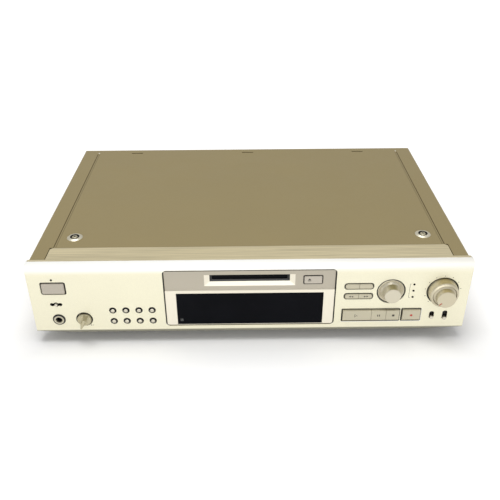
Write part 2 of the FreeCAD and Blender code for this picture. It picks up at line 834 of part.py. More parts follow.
def display_window():
    """Smoked window with a low bevel round its face."""
    x0, x1, z0, z1 = WINDOW
    front = BEZEL_SET + 0.4
    return plate_y(x0, x1, z0, z1, 0.6, front, front + WINDOW_WALL)


def slot_door():
    """Flap behind the slot, on two pins at its top edge."""
    pivot_y, pivot_z = door_pivot()
    half = SLOT_WIDTH / 2 + DOOR_LAP
    y0 = DOOR_Y
    flap = block(-half, half, y0, y0 + DOOR_WALL, SLOT_BOTTOM - DOOR_LAP, pivot_z)
    barrel = rod_x(-half, half, pivot_y, pivot_z, DOOR_PIN_R)
    pins = rod_x(-half - DOOR_PIN, half + DOOR_PIN, pivot_y, pivot_z, DOOR_PIN_R)
    back = y0 + DOOR_WALL
    ribs = [block(x - 0.5, x + 0.5, back, back + 0.8, SLOT_BOTTOM, SLOT_TOP - 1) for x in (-half / 2, 0, half / 2)]
    return joined([flap, barrel, pins] + ribs)


# Push buttons

def stem(x, z, travel):
    """Stem from a button's flange to just short of its switch."""
    return block(
        x - STEM_HALF, x + STEM_HALF, FLANGE_BACK - 0.2, PLUNGER_Y - travel - SEAT, z - STEM_HALF, z + STEM_HALF
    )


def flanged(cap, x0, x1, z0, z1, travel):
    """Button with a flange behind the panel that keeps it in."""
    flange = block(x0, x1, FLANGE_FRONT, FLANGE_BACK, z0, z1)
    return joined([cap, flange, stem((x0 + x1) / 2, (z0 + z1) / 2, travel)])


def round_button(place):
    x, z = place
    cap = turned_y(
        x, z,
        [
            (0, FLANGE_FRONT + 0.1),
            (ROUND_CAP_R, FLANGE_FRONT + 0.1),
            (ROUND_CAP_R, ROUND_BEVEL - ROUND_REACH),
            (ROUND_CAP_R - 2 * ROUND_BEVEL, -ROUND_REACH),
            (0, -ROUND_REACH),
        ],
    )
    half = ROUND_HOLE_R + FLANGE_EDGE
    return flanged(cap, x - half, x + half, z - half, z + half, TRAVEL)


def bevelled(path, inner, y_face, bevel):
    """Button head: straight sides and a bevelled front edge."""
    sides = prism_y(path, y_face + bevel, FLANGE_FRONT + 0.1)
    back = face_from(path, lambda x, z: vec(x, y_face + bevel, z)).OuterWire
    front = face_from(inner, lambda x, z: vec(x, y_face, z)).OuterWire
    return joined([sides, Part.makeLoft([back, front], True, True)])


def box_button(opening, corner, gap, reach, travel, bevel=0.5):
    x0, x1, z0, z1 = opening
    head = bevelled(
        round_path(x0 + gap, x1 - gap, z0 + gap, z1 - gap, corner),
        round_path(x0 + gap + bevel, x1 - gap - bevel, z0 + gap + bevel, z1 - gap - bevel, corner - bevel / 2),
        -reach,
        bevel,
    )
    edge = FLANGE_EDGE - gap
    return flanged(head, x0 - edge, x1 + edge, z0 - edge, z1 + edge, travel)


def eject_button():
    """The eject button's flange lies behind the bezel, not behind the panel."""
    x0, x1, z0, z1 = EJECT
    gap = BUTTON_GAP
    top = BEZEL_SET + BEZEL_STEP - EJECT_REACH
    back = BEZEL_BACK + RUN
    head = prism_y(round_path(x0 + gap, x1 - gap, z0 + gap, z1 - gap, 1.0), top, back + 0.1)
    flange = block(x0 - FLANGE_EDGE, x1 + FLANGE_EDGE, back, back + BUTTON_FLANGE, z0 - FLANGE_EDGE, z1 + FLANGE_EDGE)
    return joined([head, flange, stem((x0 + x1) / 2, (z0 + z1) / 2, TRAVEL)])


def half_button(side, band):
    """One of two buttons that share a long opening with round ends."""
    z0, z1 = band
    gap = BUTTON_GAP
    x0, middle, x1 = PAIR_X
    corner = (z1 - z0) / 2 - 0.6 - gap / 2
    whole = bevelled(
        round_path(x0 + gap, x1 - gap, z0 + gap, z1 - gap, corner),
        round_path(x0 + gap + 0.4, x1 - gap - 0.4, z0 + gap + 0.4, z1 - gap - 0.4, corner - 0.2),
        -PAIR_REACH,
        0.4,
    )
    keep = (x0, middle - RUN / 2) if side < 0 else (middle + RUN / 2, x1)
    head = whole.common(block(keep[0], keep[1], -5, 5, z0, z1))
    edge = FLANGE_EDGE - gap
    wide = (x0 - edge, keep[1]) if side < 0 else (keep[0], x1 + edge)
    return flanged(head, wide[0], wide[1], z0 - edge, z1 + edge, TRAVEL)


def transport_key(x0, x1, open_left, open_right):
    """Key that stands proud, with a bevel along its lower edge."""
    gap = BUTTON_GAP
    z0, z1 = KEYS_Z
    left = x0 + (gap if open_left else RUN / 2)
    right = x1 - (gap if open_right else RUN / 2)
    low = z0 + gap
    section = [
        (-KEY_REACH, low + KEY_BEVEL),
        (-KEY_REACH + KEY_BEVEL, low),
        (FLANGE_FRONT + 0.1, low),
        (FLANGE_FRONT + 0.1, z1 - gap),
        (-KEY_REACH + 0.4, z1 - gap),
        (-KEY_REACH, z1 - gap - 0.4),
    ]
    head = prism_x(section, left, right)
    edge = FLANGE_EDGE - gap
    return flanged(
        head,
        x0 - edge if open_left else left,
        x1 + edge if open_right else right,
        z0 - edge, z1 + edge, TRAVEL
    )


# Knobs

def level_knob():
    """Small knob: a disc with a tapered pointer wing across it."""
    x, z = LEVEL
    disc = turned_y(
        x, z,
        [
            (0, 2.2),
            (LEVEL_R, 2.2),
            (LEVEL_R, -1.7),
            (LEVEL_R - 0.7, -2.4),
            (0, -2.4),
        ],
    )
    long = LEVEL_R - 0.6
    base = [(-long, -2.4), (long, -1.9), (long, 1.9), (-long, 2.4)]
    tip = [(-long + 1.6, -1.3), (long - 0.3, -0.7), (long - 0.3, 0.7), (-long + 1.6, 1.3)]
    turn = math.radians(LEVEL_START)
    wires = []
    for path, y in ((base, -2.0), (tip, -LEVEL_REACH)):
        ring = [
            vec(x + u * math.cos(turn) - v * math.sin(turn), y, z + u * math.sin(turn) + v * math.cos(turn))
            for u, v in path
        ]
        wires.append(Part.makePolygon(ring + [ring[0]]))
    wing = Part.makeLoft(wires, True, True)
    shaft = rod_y(x, z, 2, BOARD_Y - 1, SHAFT_R)
    return joined([disc, wing, shaft])


def jog_knob():
    """Dial with a dished skirt and a conical barrel. Its bore slides on the encoder's shaft."""
    x, z = JOG
    skirt = JOG_HOLE_R - KNOB_GAP
    body = turned_y(
        x, z,
        [
            (0, -JOG_REACH),
            (JOG_FACE_R - 0.3, -JOG_REACH),
            (JOG_FACE_R + 0.2, -JOG_REACH + 0.5),
            (JOG_GRIP_R, -1.2),
            (JOG_GRIP_R + 1.8, 1.0),
            (skirt - 0.5, 0.1),
            (skirt, 0.4),
            (skirt, 2.4),
            (SHAFT_R + 2.5, 2.4),
            (SHAFT_R + 2.5, 5.6),
            (0, 5.6),
        ],
    )
    bore = shaft_form(SHAFT_R + RUN, -JOG_REACH + 3.4, 8, RUN)
    return without(body, [bore])


def shaft_form(r, y0, y1, grow):
    """Shaft with a flat along one side, about the jog dial's axis."""
    x, z = JOG
    flat = block(x + SHAFT_R * 0.6 + grow, x + 10, y0 - 1, y1 + 1, z - 10, z + 10)
    return without(rod_y(x, z, y0, y1, r), [flat])


def jog_shaft():
    return shaft_form(SHAFT_R, -JOG_REACH + 3.4 + JOG_TRAVEL + RUN, BOARD_Y - 1, 0)


def level_ring():
    """Outer knob: slightly conical wall with a broad front bevel, on a sleeve."""
    x, z = RECORD
    return turned_y(
        x, z,
        [
            (RING_R, 1.0),
            (RING_R - 0.6, -RING_REACH + 1.5),
            (RING_R - 1.3, -RING_REACH + 0.8),
            (RING_BORE_R, -RING_REACH),
            (RING_BORE_R, -2.5),
            (SHAFT_R + RUN, -2.5),
            (SHAFT_R + RUN, 8.0),
            (SHAFT_R + 2.0, 8.0),
            (SHAFT_R + 2.0, 1.0),
        ],
    )


def level_inner():
    """Inner knob: a bevel and a barrel, with a groove for the pointer mark on its face."""
    x, z = RECORD
    skirt = RING_BORE_R - GAP
    body = turned_y(
        x, z,
        [
            (0, -KNOB_REACH),
            (INNER_FACE_R - 0.4, -KNOB_REACH),
            (INNER_FACE_R, -KNOB_REACH + 0.4),
            (INNER_FACE_R + 0.4, -RING_REACH - 0.7),
            (skirt, -RING_REACH + 0.6),
            (skirt, -3.2),
            (SHAFT_R, -3.2),
            (SHAFT_R, BOARD_Y - 1),
            (0, BOARD_Y - 1),
        ],
    )
    mark = block(x + 5.2, x + INNER_FACE_R + 1, -KNOB_REACH - 1, -KNOB_REACH + 0.3, z - 0.4, z + 0.4)
    mark.rotate(vec(x, 0, z), vec(0, 1, 0), -225)
    return without(body, [mark])


# Slide switches

def slide_cap(x, z, half_x, half_z, cover_x, cover_z):
    """Slider: a ribbed nub in the slot and a wide plate behind that hides the switch."""
    nub = plate_y(x - half_x, x + half_x, z - half_z, z + half_z, NUB_ROUND, -NUB, FLANGE_FRONT + 0.1)
    plate = block(x + cover_x[0], x + cover_x[1], FLANGE_FRONT, FLANGE_BACK - 0.2, z + cover_z[0], z + cover_z[1])
    post = block(x - 1.2, x + 1.2, FLANGE_FRONT, BOARD_Y - SWITCH_H - RUN, z - 1.2, z + 1.2)
    return joined([nub, plate, post])


def timer_slider():
    x, z = TIMER
    reach = TIMER_HALF + TIMER_TRAVEL + 0.6
    return slide_cap(x, z, 1.3, 1.4, (-reach, reach), (-TIMER_LOBE_R - 1, TIMER_LOBE_R + 1))


def upright_slider(slot):
    """Slider that rests at the bottom of an upright slot."""
    x0, x1, z0, z1 = slot
    x = (x0 + x1) / 2
    z = z0 + SLIDE_NUB / 2 + RUN
    travel = slide_travel(slot)
    side = (x1 - x0) / 2 + 1
    return slide_cap(
        x, z, (x1 - x0) / 2 - 0.8, SLIDE_NUB / 2, (-side, side), (z0 - z - travel - 0.6, z1 - z + 0.6)
    )


def slide_travel(slot):
    return slot[3] - slot[2] - SLIDE_NUB - 2 * RUN


# Headphones jack, lamps, front board, display tube

def phones_jack():
    x, z = PHONES
    nose = rod_y(x, z, -0.9, PANEL_WALL + 1, PHONES_NOSE_R)
    body = block(
        x - PHONES_BODY, x + PHONES_BODY, FLANGE_FRONT, FLANGE_FRONT + PHONES_DEEP, z - PHONES_BODY, z + PHONES_BODY
    )
    seat = rod_y(x, z, -2, 1.5, PHONES_BUSH_R)
    bore = rod_y(x, z, -2, FLANGE_FRONT + PHONES_DEEP - 2, PHONES_BORE_R)
    return without(joined([nose, body]), [seat, bore])


def phones_bush():
    """Metal bush pressed into the jack's mouth."""
    x, z = PHONES
    return turned_y(
        x, z,
        [
            (PHONES_BORE_R, 1.5),
            (PHONES_BORE_R, -0.9),
            (PHONES_BORE_R + 0.4, -1.3),
            (PHONES_BUSH_R - 0.3, -1.3),
            (PHONES_BUSH_R, -1.0),
            (PHONES_BUSH_R, 1.5),
        ],
    )


def indicator_lenses():
    return [rod_y(x, z, -0.3, BOARD_Y, LAMP_R) for x, z in lamp_places()]


def front_board():
    """Circuit board, cut away round the disc slot and round the headphones jack."""
    low = FOOT_HEIGHT + 10.5
    top = BEZEL_TOP + 0.3
    notch = FUNNEL_HALF + 5.5
    slot_low = DECK_Z - 1
    jack_right = PHONES[0] + PHONES_BODY + 2
    jack_top = PHONES[1] + PHONES_BODY + 1
    outline = [
        (jack_right, low),
        (CAVITY_HALF - 5, low),
        (CAVITY_HALF - 5, top),
        (notch, top),
        (notch, slot_low),
        (-notch, slot_low),
        (-notch, top),
        (-CAVITY_HALF + 5, top),
        (-CAVITY_HALF + 5, jack_top),
        (jack_right, jack_top),
    ]
    return prism_y(outline, BOARD_Y, BOARD_Y + BOARD_WALL)


def tact_switch(x, z):
    half = SWITCH_SIZE / 2
    body = block(x - half, x + half, BOARD_Y - SWITCH_H, BOARD_Y, z - half, z + half)
    reach = PLUNGER_HALF
    plunger = block(x - reach, x + reach, PLUNGER_Y, BOARD_Y - SWITCH_H, z - reach, z + reach)
    return joined([body, plunger])


def middle(opening):
    x0, x1, z0, z1 = opening
    return ((x0 + x1) / 2, (z0 + z1) / 2)


def pair_places(band):
    edge = FLANGE_EDGE - BUTTON_GAP
    z = sum(band) / 2
    return [
        ((PAIR_X[0] - edge + PAIR_X[1] - RUN / 2) / 2, z),
        ((PAIR_X[1] + RUN / 2 + PAIR_X[2] + edge) / 2, z),
    ]


def key_places():
    edge = FLANGE_EDGE - BUTTON_GAP
    z = sum(KEYS_Z) / 2
    return [
        ((KEY_X[0] - edge + KEY_X[1] - RUN / 2) / 2, z),
        ((KEY_X[1] + KEY_X[2]) / 2, z),
        ((KEY_X[2] + RUN / 2 + KEY_X[3] + edge) / 2, z),
        (sum(RECORD_X) / 2, z),
    ]


def switch_places():
    places = [middle(POWER), middle(EJECT)] + round_places()
    return places + pair_places(MENU_Z) + pair_places(SEARCH_Z) + key_places()


def rotary_body(place, size, sleeve_r):
    """Potentiometer or encoder on the board, open at the front for its shaft."""
    x, z = place
    front = BOARD_Y - SWITCH_H - 3
    body = block(x - size, x + size, front, BOARD_Y, z - size, z + size)
    cuts = [rod_y(x, z, front - 1, BOARD_Y - 0.6, SHAFT_R + RUN)]
    if sleeve_r:
        cuts.append(rod_y(x, z, front - 1, 8.0 + RUN, sleeve_r + RUN))
    return without(body, cuts)


def slide_body(x, z, half_x, half_z):
    return block(x - half_x, x + half_x, BOARD_Y - SWITCH_H, BOARD_Y, z - half_z, z + half_z)


def front_board_parts():
    made = [tact_switch(x, z) for x, z in switch_places()]
    made.append(rotary_body(LEVEL, 5.0, 0))
    made.append(rotary_body(JOG, 6.5, 0))
    made.append(rotary_body(RECORD, 8.0, SHAFT_R + 2.0))
    made.append(slide_body(TIMER[0], TIMER[1], 8.0, 3.0))
    for slot in (MODE_SLOT, INPUT_SLOT):
        x, z = middle(slot)
        made.append(slide_body(x, z - 0.5, 3.0, 7.0))
    return made


def display_tube():
    """Fluorescent tube: two glass plates with a stepped edge and a pumping tip."""
    x0, x1, z0, z1 = WINDOW
    inset = WINDOW_LEDGE + 2
    back = block(x0 + inset, x1 - inset, BOARD_Y - 4.5, BOARD_Y, z0 + inset, z1 - inset)
    front = block(x0 + inset + 3, x1 - inset - 3, BEZEL_BACK + 1.2, BOARD_Y - 4.5, z0 + inset + 2, z1 - inset - 2)
    return joined([back, front, rod_x(x1 - inset - 1, x1 - inset + 3, BOARD_Y - 2.2, (z0 + z1) / 2, 1.5)])


# Rear sockets

def rca_jacks():
    """Two pairs of phono sockets in one moulded block, each with a metal shell."""
    block_front = REAR_IN - 12
    body = prism_y(jack_block_path(0), block_front, REAR_OUT + 0.8)
    legs = block(JACK_X[0] - 6, JACK_X[1] + 6, block_front, block_front + 10, MAIN_BOARD_Z + BOARD_WALL, JACK_Z[0])
    made = joined([body, legs])
    for x, z in jack_places():
        shell = rod_y(x, z, REAR_OUT - 1, REAR_OUT + JACK_REACH, JACK_SHELL_R)
        made = joined([made, shell])
    cuts = []
    for x, z in jack_places():
        cuts.append(rod_y(x, z, REAR_OUT + JACK_WELL, REAR_OUT + JACK_REACH + 1, JACK_BORE_R))
        cuts.append(rod_y(x, z, REAR_OUT - JACK_DEEP, REAR_OUT + JACK_WELL + 1, JACK_HOLE_R))
    return without(made, cuts)


def optical_jack(place):
    x, z = place
    half = OPTICAL_OPEN / 2
    front = REAR_IN - 10
    body = prism_y(optical_path(place, 0), front, REAR_OUT + 0.8)
    leg = block(x - 4, x + 4, front, front + 6, MAIN_BOARD_Z + BOARD_WALL, z - half)
    opening = block(x - half, x + half, REAR_OUT - 8, REAR_OUT + 2, z - half, z + half)
    pin = rod_y(x, z, REAR_OUT - 8.1, REAR_OUT - 5, 1.2)
    return joined([without(joined([body, leg]), [opening]), pin])


def ac_inlet():
    """Two-pin mains inlet with a recess of two joined rounds."""
    x, z = INLET
    flange = prism_y(inlet_path(3), REAR_OUT, REAR_OUT + 2.5)
    body = prism_y(inlet_path(0), REAR_IN - 16, REAR_OUT + 1)
    shape = joined([flange, body])
    lobe = 4.2
    half = INLET_PITCH / 2
    recess = [
        rod_y(x - half, z, REAR_OUT - 11, REAR_OUT + 4, lobe),
        rod_y(x + half, z, REAR_OUT - 11, REAR_OUT + 4, lobe),
        block(x - half, x + half, REAR_OUT - 11, REAR_OUT + 4, z - 3.4, z + 3.4),
    ]
    pins = [rod_y(x + side * half, z, REAR_OUT - 12, REAR_OUT - 1, 1.2) for side in (-1, 1)]
    return joined([without(shape, [joined(recess)])] + pins)


# Electronics

def main_board():
    x0, x1, y0, y1 = MAIN_BOARD
    return block(x0, x1, y0, y1, MAIN_BOARD_Z, MAIN_BOARD_Z + BOARD_WALL)


def capacitor(x, y, r, height):
    z = MAIN_BOARD_Z + BOARD_WALL
    return rod_z(x, y, z, z + height, r)


def chip(x, y, half_x, half_y):
    z = MAIN_BOARD_Z + BOARD_WALL
    return block(x - half_x, x + half_x, y - half_y, y + half_y, z, z + 2.4)


def heat_sink(x, y):
    """Extruded heat sink with upright fins."""
    z = MAIN_BOARD_Z + BOARD_WALL
    top = z + 34.0
    half = 20.0
    fin_wall = 1.4
    fins = 5
    pitch = (2 * half - fin_wall) / (fins - 1)
    pieces = [block(x - half, x + half, y - fin_wall, y + fin_wall, z, top)]
    for i in range(fins):
        left = x - half + i * pitch
        pieces.append(block(left, left + fin_wall, y - 8.0, y + 8.0, z, top))
    return joined(pieces)


def main_board_parts():
    x0, x1, y0, y1 = MAIN_BOARD
    cans = 4
    big_r = 7.0
    small_r = 4.5
    step = (x1 - x0) / (cans + 1)
    made = [capacitor(x0 + (i + 1) * step, y0 + 2 * step, big_r, 24.0) for i in range(cans)]
    made += [capacitor(x0 + (i + 1) * step, y1 - 2 * step, small_r, 12.0) for i in range(cans)]
    centre = (y0 + y1) / 2
    made.append(chip(x0 + 2 * step, centre - step, 12.0, 12.0))
    made.append(chip(x0 + 2 * step, centre + step, 14.0, 7.0))
    made.append(heat_sink(x1 - 1.5 * step, centre + step / 2))
    return made


def transformer():
    """Mains transformer: laminated core with a window, and its winding."""
    x, y = CORE_AT
    long, deep, high = CORE
    z = CHASSIS_TOP
    core = block(x - long / 2, x + long / 2, y - deep / 2 + 12, y + deep / 2 - 12, z, z + high)
    windows = [
        block(x + side * long / 4 - 5.5, x + side * long / 4 + 5.5, y - deep, y + deep, z + 11, z + high - 11)
        for side in (-1, 1)
    ]
    core = without(core, windows)
    feet = block(x - long / 2 - 10, x + long / 2 + 10, y - 10, y + 10, z, z + 1.5)
    core = joined([core, feet])
    coil = block(
        x - long / 4 - 5, x + long / 4 + 5, y - deep / 2, y + deep / 2, z + 11.5, z + high - 11.5
    )
    coil = coil.makeFillet(4.0, [e for e in coil.Edges if abs(e.tangentAt(e.FirstParameter).z) > 0.9])
    return [core, coil.cut(core)]


# Disc drive

def involute(angle):
    return math.tan(angle) - angle


def tooth_path(module, teeth, turn):
    """Outline of a stub-toothed spur gear about the origin. A tooth points at the angle turn."""
    pitch = module * teeth / 2
    base = pitch * math.cos(PRESSURE)
    tip = pitch + 0.8 * module
    root = pitch - 1.1 * module
    half = math.pi / (2 * teeth) - TOOTH_PLAY / (2 * pitch)
    start = max(base, root)
    flank = []
    for r in (start, tip):
        lean = half + involute(PRESSURE) - involute(math.acos(min(1.0, base / r)))
        flank.append((r, lean))
    flank[0] = (root, flank[0][1])
    path = []
    for tooth in range(teeth):
        middle_angle = turn + 2 * math.pi * tooth / teeth
        for r, lean in flank:
            path.append((r * math.cos(middle_angle - lean), r * math.sin(middle_angle - lean)))
        for r, lean in reversed(flank):
            path.append((r * math.cos(middle_angle + lean), r * math.sin(middle_angle + lean)))
    return path


def spur(module, teeth, x, y, z0, z1, turn):
    return prism_z([(x + u, y + v) for u, v in tooth_path(module, teeth, turn)], z0, z1)


def rack_path(module, count, depth):
    """Straight rack along u with teeth towards +v. Its pitch line is v = 0 and a gap is at u = 0."""
    pitch = math.pi * module
    half_pitch_line = pitch / 4 - TOOTH_PLAY / 2
    top = 0.8 * module
    bottom = -1.1 * module
    slope = math.tan(PRESSURE)
    path = [(-pitch / 2, -depth), (-pitch / 2, bottom)]
    path[0] = (0.0, -depth)
    path[1] = (0.0, bottom)
    for i in range(count):
        centre = (i + 0.5) * pitch
        path.append((centre - half_pitch_line + bottom * slope, bottom))
        path.append((centre - half_pitch_line + top * slope, top))
        path.append((centre + half_pitch_line - top * slope, top))
        path.append((centre + half_pitch_line - bottom * slope, bottom))
    path.append((count * pitch, bottom))
    path.append((count * pitch, -depth))
    return path


def rack_pitch_r():
    return RACK_MODULE * RACK_TEETH / 2


def wheel_gap():
    return WHEEL_MODULE * (WHEEL_TEETH + PINION_TEETH) / 2


def load_gear_at():
    """Axis of the loading gear, beside the slider's rack."""
    return (26.0 - rack_pitch_r(), 126.0)


def sled_gear_at():
    return (30.0, RAIL_REAR + 8.0 + rack_pitch_r())


def pin_holes(grow, fall):
    """Upright or sloping slots for the holder's pins, as a path of (y, z) round two ends."""
    slots = []
    for pin_y in (PIN_FRONT, PIN_REAR):
        r = PIN_R + grow
        z = SLOT_MID_Z
        end_y = pin_y - fall
        end_z = z - HOLDER_DROP
        along = vec(0, end_y - pin_y, end_z - z)
        side = vec(0, -along.z, along.y)
        side.normalize()
        along.normalize()
        a = (pin_y, z)
        b = (end_y, end_z)
        slots.append(
            [
                (a[0] + side.y * r, a[1] + side.z * r),
                Arc((a[0] - along.y * r, a[1] - along.z * r), (a[0] - side.y * r, a[1] - side.z * r)),
                (b[0] - side.y * r, b[1] - side.z * r),
                Arc((b[0] + along.y * r, b[1] + along.z * r), (b[0] + side.y * r, b[1] + side.z * r)),
            ]
        )
    return slots


def mechanism_frame():
    """Frame of the drive: a deck on four legs with two guide walls for the disc holder."""
    left = -WALL_X - 8
    right = WALL_X + 32
    front = HOLDER_FRONT
    deck = block(left, right, front, FRAME_BACK, DECK_Z, DECK_TOP)
    wall_top = SLOT_MID_Z + PIN_R + 1.9
    wall_back = HOLDER_BACK + 4
    pieces = [deck]
    for side in (-1, 1):
        x0 = side * WALL_X if side > 0 else side * WALL_X - FRAME_WALL
        wall = block(x0, x0 + FRAME_WALL, front, wall_back, DECK_Z, wall_top)
        slots = [prism_x(path, x0 - 1, x0 + FRAME_WALL + 1) for path in pin_holes(RUN, 0)]
        pieces.append(without(wall, slots))
    for x0, x1 in ((left, left + FRAME_WALL), (right - FRAME_WALL, right)):
        for y0 in (front + 2, FRAME_BACK - LEG_WIDTH - 2):
            pieces.append(block(x0, x1, y0, y0 + LEG_WIDTH, CHASSIS_TOP, DECK_TOP))
            toe = (x0 - FOOTING, x1) if x0 < 0 else (x0, x1 + FOOTING)
            pieces.append(block(toe[0], toe[1], y0, y0 + LEG_WIDTH, CHASSIS_TOP, CHASSIS_TOP + FRAME_WALL))
    for x in (-STATOR_R - 5.0, right - 6):
        for y in (RAIL_FRONT, RAIL_REAR):
            pieces.append(block(x, x + 3, y - 3, y + 3, RAIL_Z - 3, DECK_Z + 0.1))
    gx, gy = load_gear_at()
    pieces.append(rod_z(gx, gy, DECK_Z, DECK_TOP + 9, 1.4))
    sx, sy = sled_gear_at()
    pieces.append(rod_z(sx, sy, RAIL_Z - 9, DECK_Z + 0.1, 1.4))
    window = block(STATOR_R, right - 4, RAIL_FRONT + 5, RAIL_REAR - 5, DECK_Z - 1, DECK_TOP + 0.01)
    below_wall = block(WALL_X - 1, WALL_X + FRAME_WALL + 1, RAIL_FRONT + 5, RAIL_REAR - 5, DECK_Z - 1, DECK_TOP + 1.5)
    shaft = rod_z(0, DISC_Y, DECK_Z - 1, DECK_TOP + 1, 3.5)
    rails = [rod_x(-60, 90, y, RAIL_Z, RAIL_R) for y in (RAIL_FRONT, RAIL_REAR)]
    motor = rod_z(gx - wheel_gap(), gy, DECK_Z - 1, DECK_TOP + 1, 2.2)
    return without(joined(pieces), [window, below_wall, shaft, motor] + rails)


def sled_rails():
    right = WALL_X + 32
    return [rod_x(-STATOR_R - 5.0, right - 3, y, RAIL_Z, RAIL_R) for y in (RAIL_FRONT, RAIL_REAR)]


def mechanism_motors():
    """Spindle stator, loading motor and sled motor."""
    stator = turned_z(
        0, DISC_Y,
        [(1.3, DECK_Z), (STATOR_R, DECK_Z), (STATOR_R, DECK_Z - 6), (STATOR_R - 1, DECK_Z - 7), (1.3, DECK_Z - 7)],
    )
    gx, gy = load_gear_at()
    mx = gx - wheel_gap()
    loading = turned_z(mx, gy, [(1.3, DECK_Z), (8, DECK_Z), (8, DECK_Z - 17), (6, DECK_Z - 19), (1.3, DECK_Z - 19)])
    sx, sy = sled_gear_at()
    top = RAIL_Z - 9.0
    sled = turned_z(sx + wheel_gap(), sy, [(1.3, top), (8, top), (8, top - 16), (6, top - 18), (1.3, top - 18)])
    bracket = block(sx - 3, sx + wheel_gap() + 8, sy - 8, sy + 8, top, top + 0.8)
    arm = block(sx + wheel_gap() + 6, sx + wheel_gap() + 8, sy - 1, sy + 6, top, DECK_Z)
    opening = rod_z(sx + wheel_gap(), sy, top - 1, top + 2, 1.3)
    peg = rod_z(sx, sy, top - 1, top + 2, 1.4)
    return [stator, loading, without(joined([sled, bracket, arm]), [opening, peg])]


def turntable():
    """Magnetic turntable with its shaft and centring cone."""
    top = HOLDER_LOW - HOLDER_DROP + 1.3
    return turned_z(
        0, DISC_Y,
        [
            (0, DECK_Z - 6), (1.0, DECK_Z - 6), (1.0, DECK_TOP + 1.0), (SPINDLE_R, DECK_TOP + 1.6),
            (SPINDLE_R, top - 0.5), (SPINDLE_R - 0.5, top), (3.0, top), (2.4, top + 1.2), (0, top + 1.6),
        ],
    )


def disc_holder():
    """Folded carriage for the disc: a top, two sides with lips under them, and four guide pins."""
    half = HOLDER_HALF
    wall = HOLDER_WALL
    section = [
        (-half, HOLDER_LOW),
        (-half, HOLDER_HIGH),
        (half, HOLDER_HIGH),
        (half, HOLDER_LOW),
        (half - LIP_WIDTH, HOLDER_LOW),
        (half - LIP_WIDTH, HOLDER_LOW - wall),
        (half + wall, HOLDER_LOW - wall),
        (half + wall, HOLDER_HIGH + wall),
        (-half - wall, HOLDER_HIGH + wall),
        (-half - wall, HOLDER_LOW - wall),
        (-half + LIP_WIDTH, HOLDER_LOW - wall),
        (-half + LIP_WIDTH, HOLDER_LOW),
    ]
    body = prism_y(section, HOLDER_FRONT, HOLDER_BACK)
    stops = [
        block(x - 5, x + 5, HOLDER_BACK - wall, HOLDER_BACK, HOLDER_LOW, HOLDER_HIGH + 0.1) for x in (-26, 26)
    ]
    reach = SLIDE_X + FRAME_WALL + 0.6
    pins = []
    for y in (PIN_FRONT, PIN_REAR):
        pins.append(rod_x(half + wall / 2, reach, y, SLOT_MID_Z, PIN_R))
        pins.append(rod_x(-reach, -half - wall / 2, y, SLOT_MID_Z, PIN_R))
    head_window = block(LENS_X - 6, half - 2, DISC_Y - 8, DISC_Y + 8, HOLDER_HIGH - 1, HOLDER_HIGH + 3)
    lighten = block(-half + 6, -8, DISC_Y - 18, DISC_Y + 18, HOLDER_HIGH - 1, HOLDER_HIGH + 3)
    lens_reach = LENS_X + SLED_TRAVEL + TOWER_R + 2 * RUN
    lens_way = block(half - LIP_WIDTH - 1, lens_reach, DISC_Y - 7, DISC_Y + 7, HOLDER_LOW - 2 * wall, HOLDER_LOW)
    return without(joined([body] + stops + pins), [head_window, lighten, lens_way])


def loading_slider():
    """Slider: two side plates with sloping slots, a bridge behind and a rack."""
    front = PIN_FRONT - SLIDER_STROKE - PIN_R - 2.5
    bridge_y = HOLDER_BACK + 6
    low = DECK_TOP + RUN
    high = SLOT_MID_Z + PIN_R + 1.5
    bridge_z = DECK_TOP + 6.5
    pieces = []
    for side in (-1, 1):
        x0 = side * SLIDE_X if side > 0 else side * SLIDE_X - FRAME_WALL
        plate = block(x0, x0 + FRAME_WALL, front, bridge_y + 8, low, high)
        slots = [prism_x(path, x0 - 1, x0 + FRAME_WALL + 1) for path in pin_holes(RUN, SLIDER_STROKE)]
        pieces.append(without(plate, slots))
    reach = SLIDE_X + FRAME_WALL
    pieces.append(block(-reach, reach, bridge_y, bridge_y + 8, bridge_z, bridge_z + 1.2))
    gx, gy = load_gear_at()
    pitch = math.pi * RACK_MODULE
    start = gy - 10 * pitch
    bar = [(gx + rack_pitch_r() - v, start + u) for u, v in rack_path(RACK_MODULE, 13, 3.5)]
    pieces.append(prism_z(bar, bridge_z - 2.5, bridge_z + 1.2))
    return joined(pieces)


def compound_gear(x, y, low, wheel_low, turn, wheel_turn):
    """Wheel and pinion in one moulding, turning on a fixed peg."""
    pinion = spur(RACK_MODULE, RACK_TEETH, x, y, low, low + 4.5, turn)
    wheel = spur(WHEEL_MODULE, WHEEL_TEETH, x, y, wheel_low, wheel_low + 2.0, wheel_turn)
    collar_low = min(low, wheel_low)
    collar_high = max(low + 4.5, wheel_low + 2.0)
    collar = rod_z(x, y, collar_low, collar_high, 3.2)
    return without(joined([pinion, wheel, collar]), [rod_z(x, y, collar_low - 1, collar_high + 1, 1.4 + 0.08)])


def loading_gear():
    x, y = load_gear_at()
    return compound_gear(x, y, DECK_TOP + 3.0, DECK_TOP + 0.6, 0.0, math.pi)


def loading_pinion():
    x, y = load_gear_at()
    x -= wheel_gap()
    turn = math.pi / PINION_TEETH
    teeth = spur(WHEEL_MODULE, PINION_TEETH, x, y, DECK_TOP + 0.4, DECK_TOP + 3.2, turn)
    return joined([teeth, rod_z(x, y, DECK_Z - 12, DECK_TOP + 3.2, 1.0)])


def sled_gear():
    x, y = sled_gear_at()
    return compound_gear(x, y, RAIL_Z - 3.5, RAIL_Z - 6.2, -math.pi / 2, 0.0)


def sled_pinion():
    x, y = sled_gear_at()
    x += wheel_gap()
    turn = math.pi + math.pi / PINION_TEETH
    teeth = spur(WHEEL_MODULE, PINION_TEETH, x, y, RAIL_Z - 6.6, RAIL_Z - 3.8, turn)
    return joined([teeth, rod_z(x, y, RAIL_Z - 20, RAIL_Z - 3.8, 1.0)])


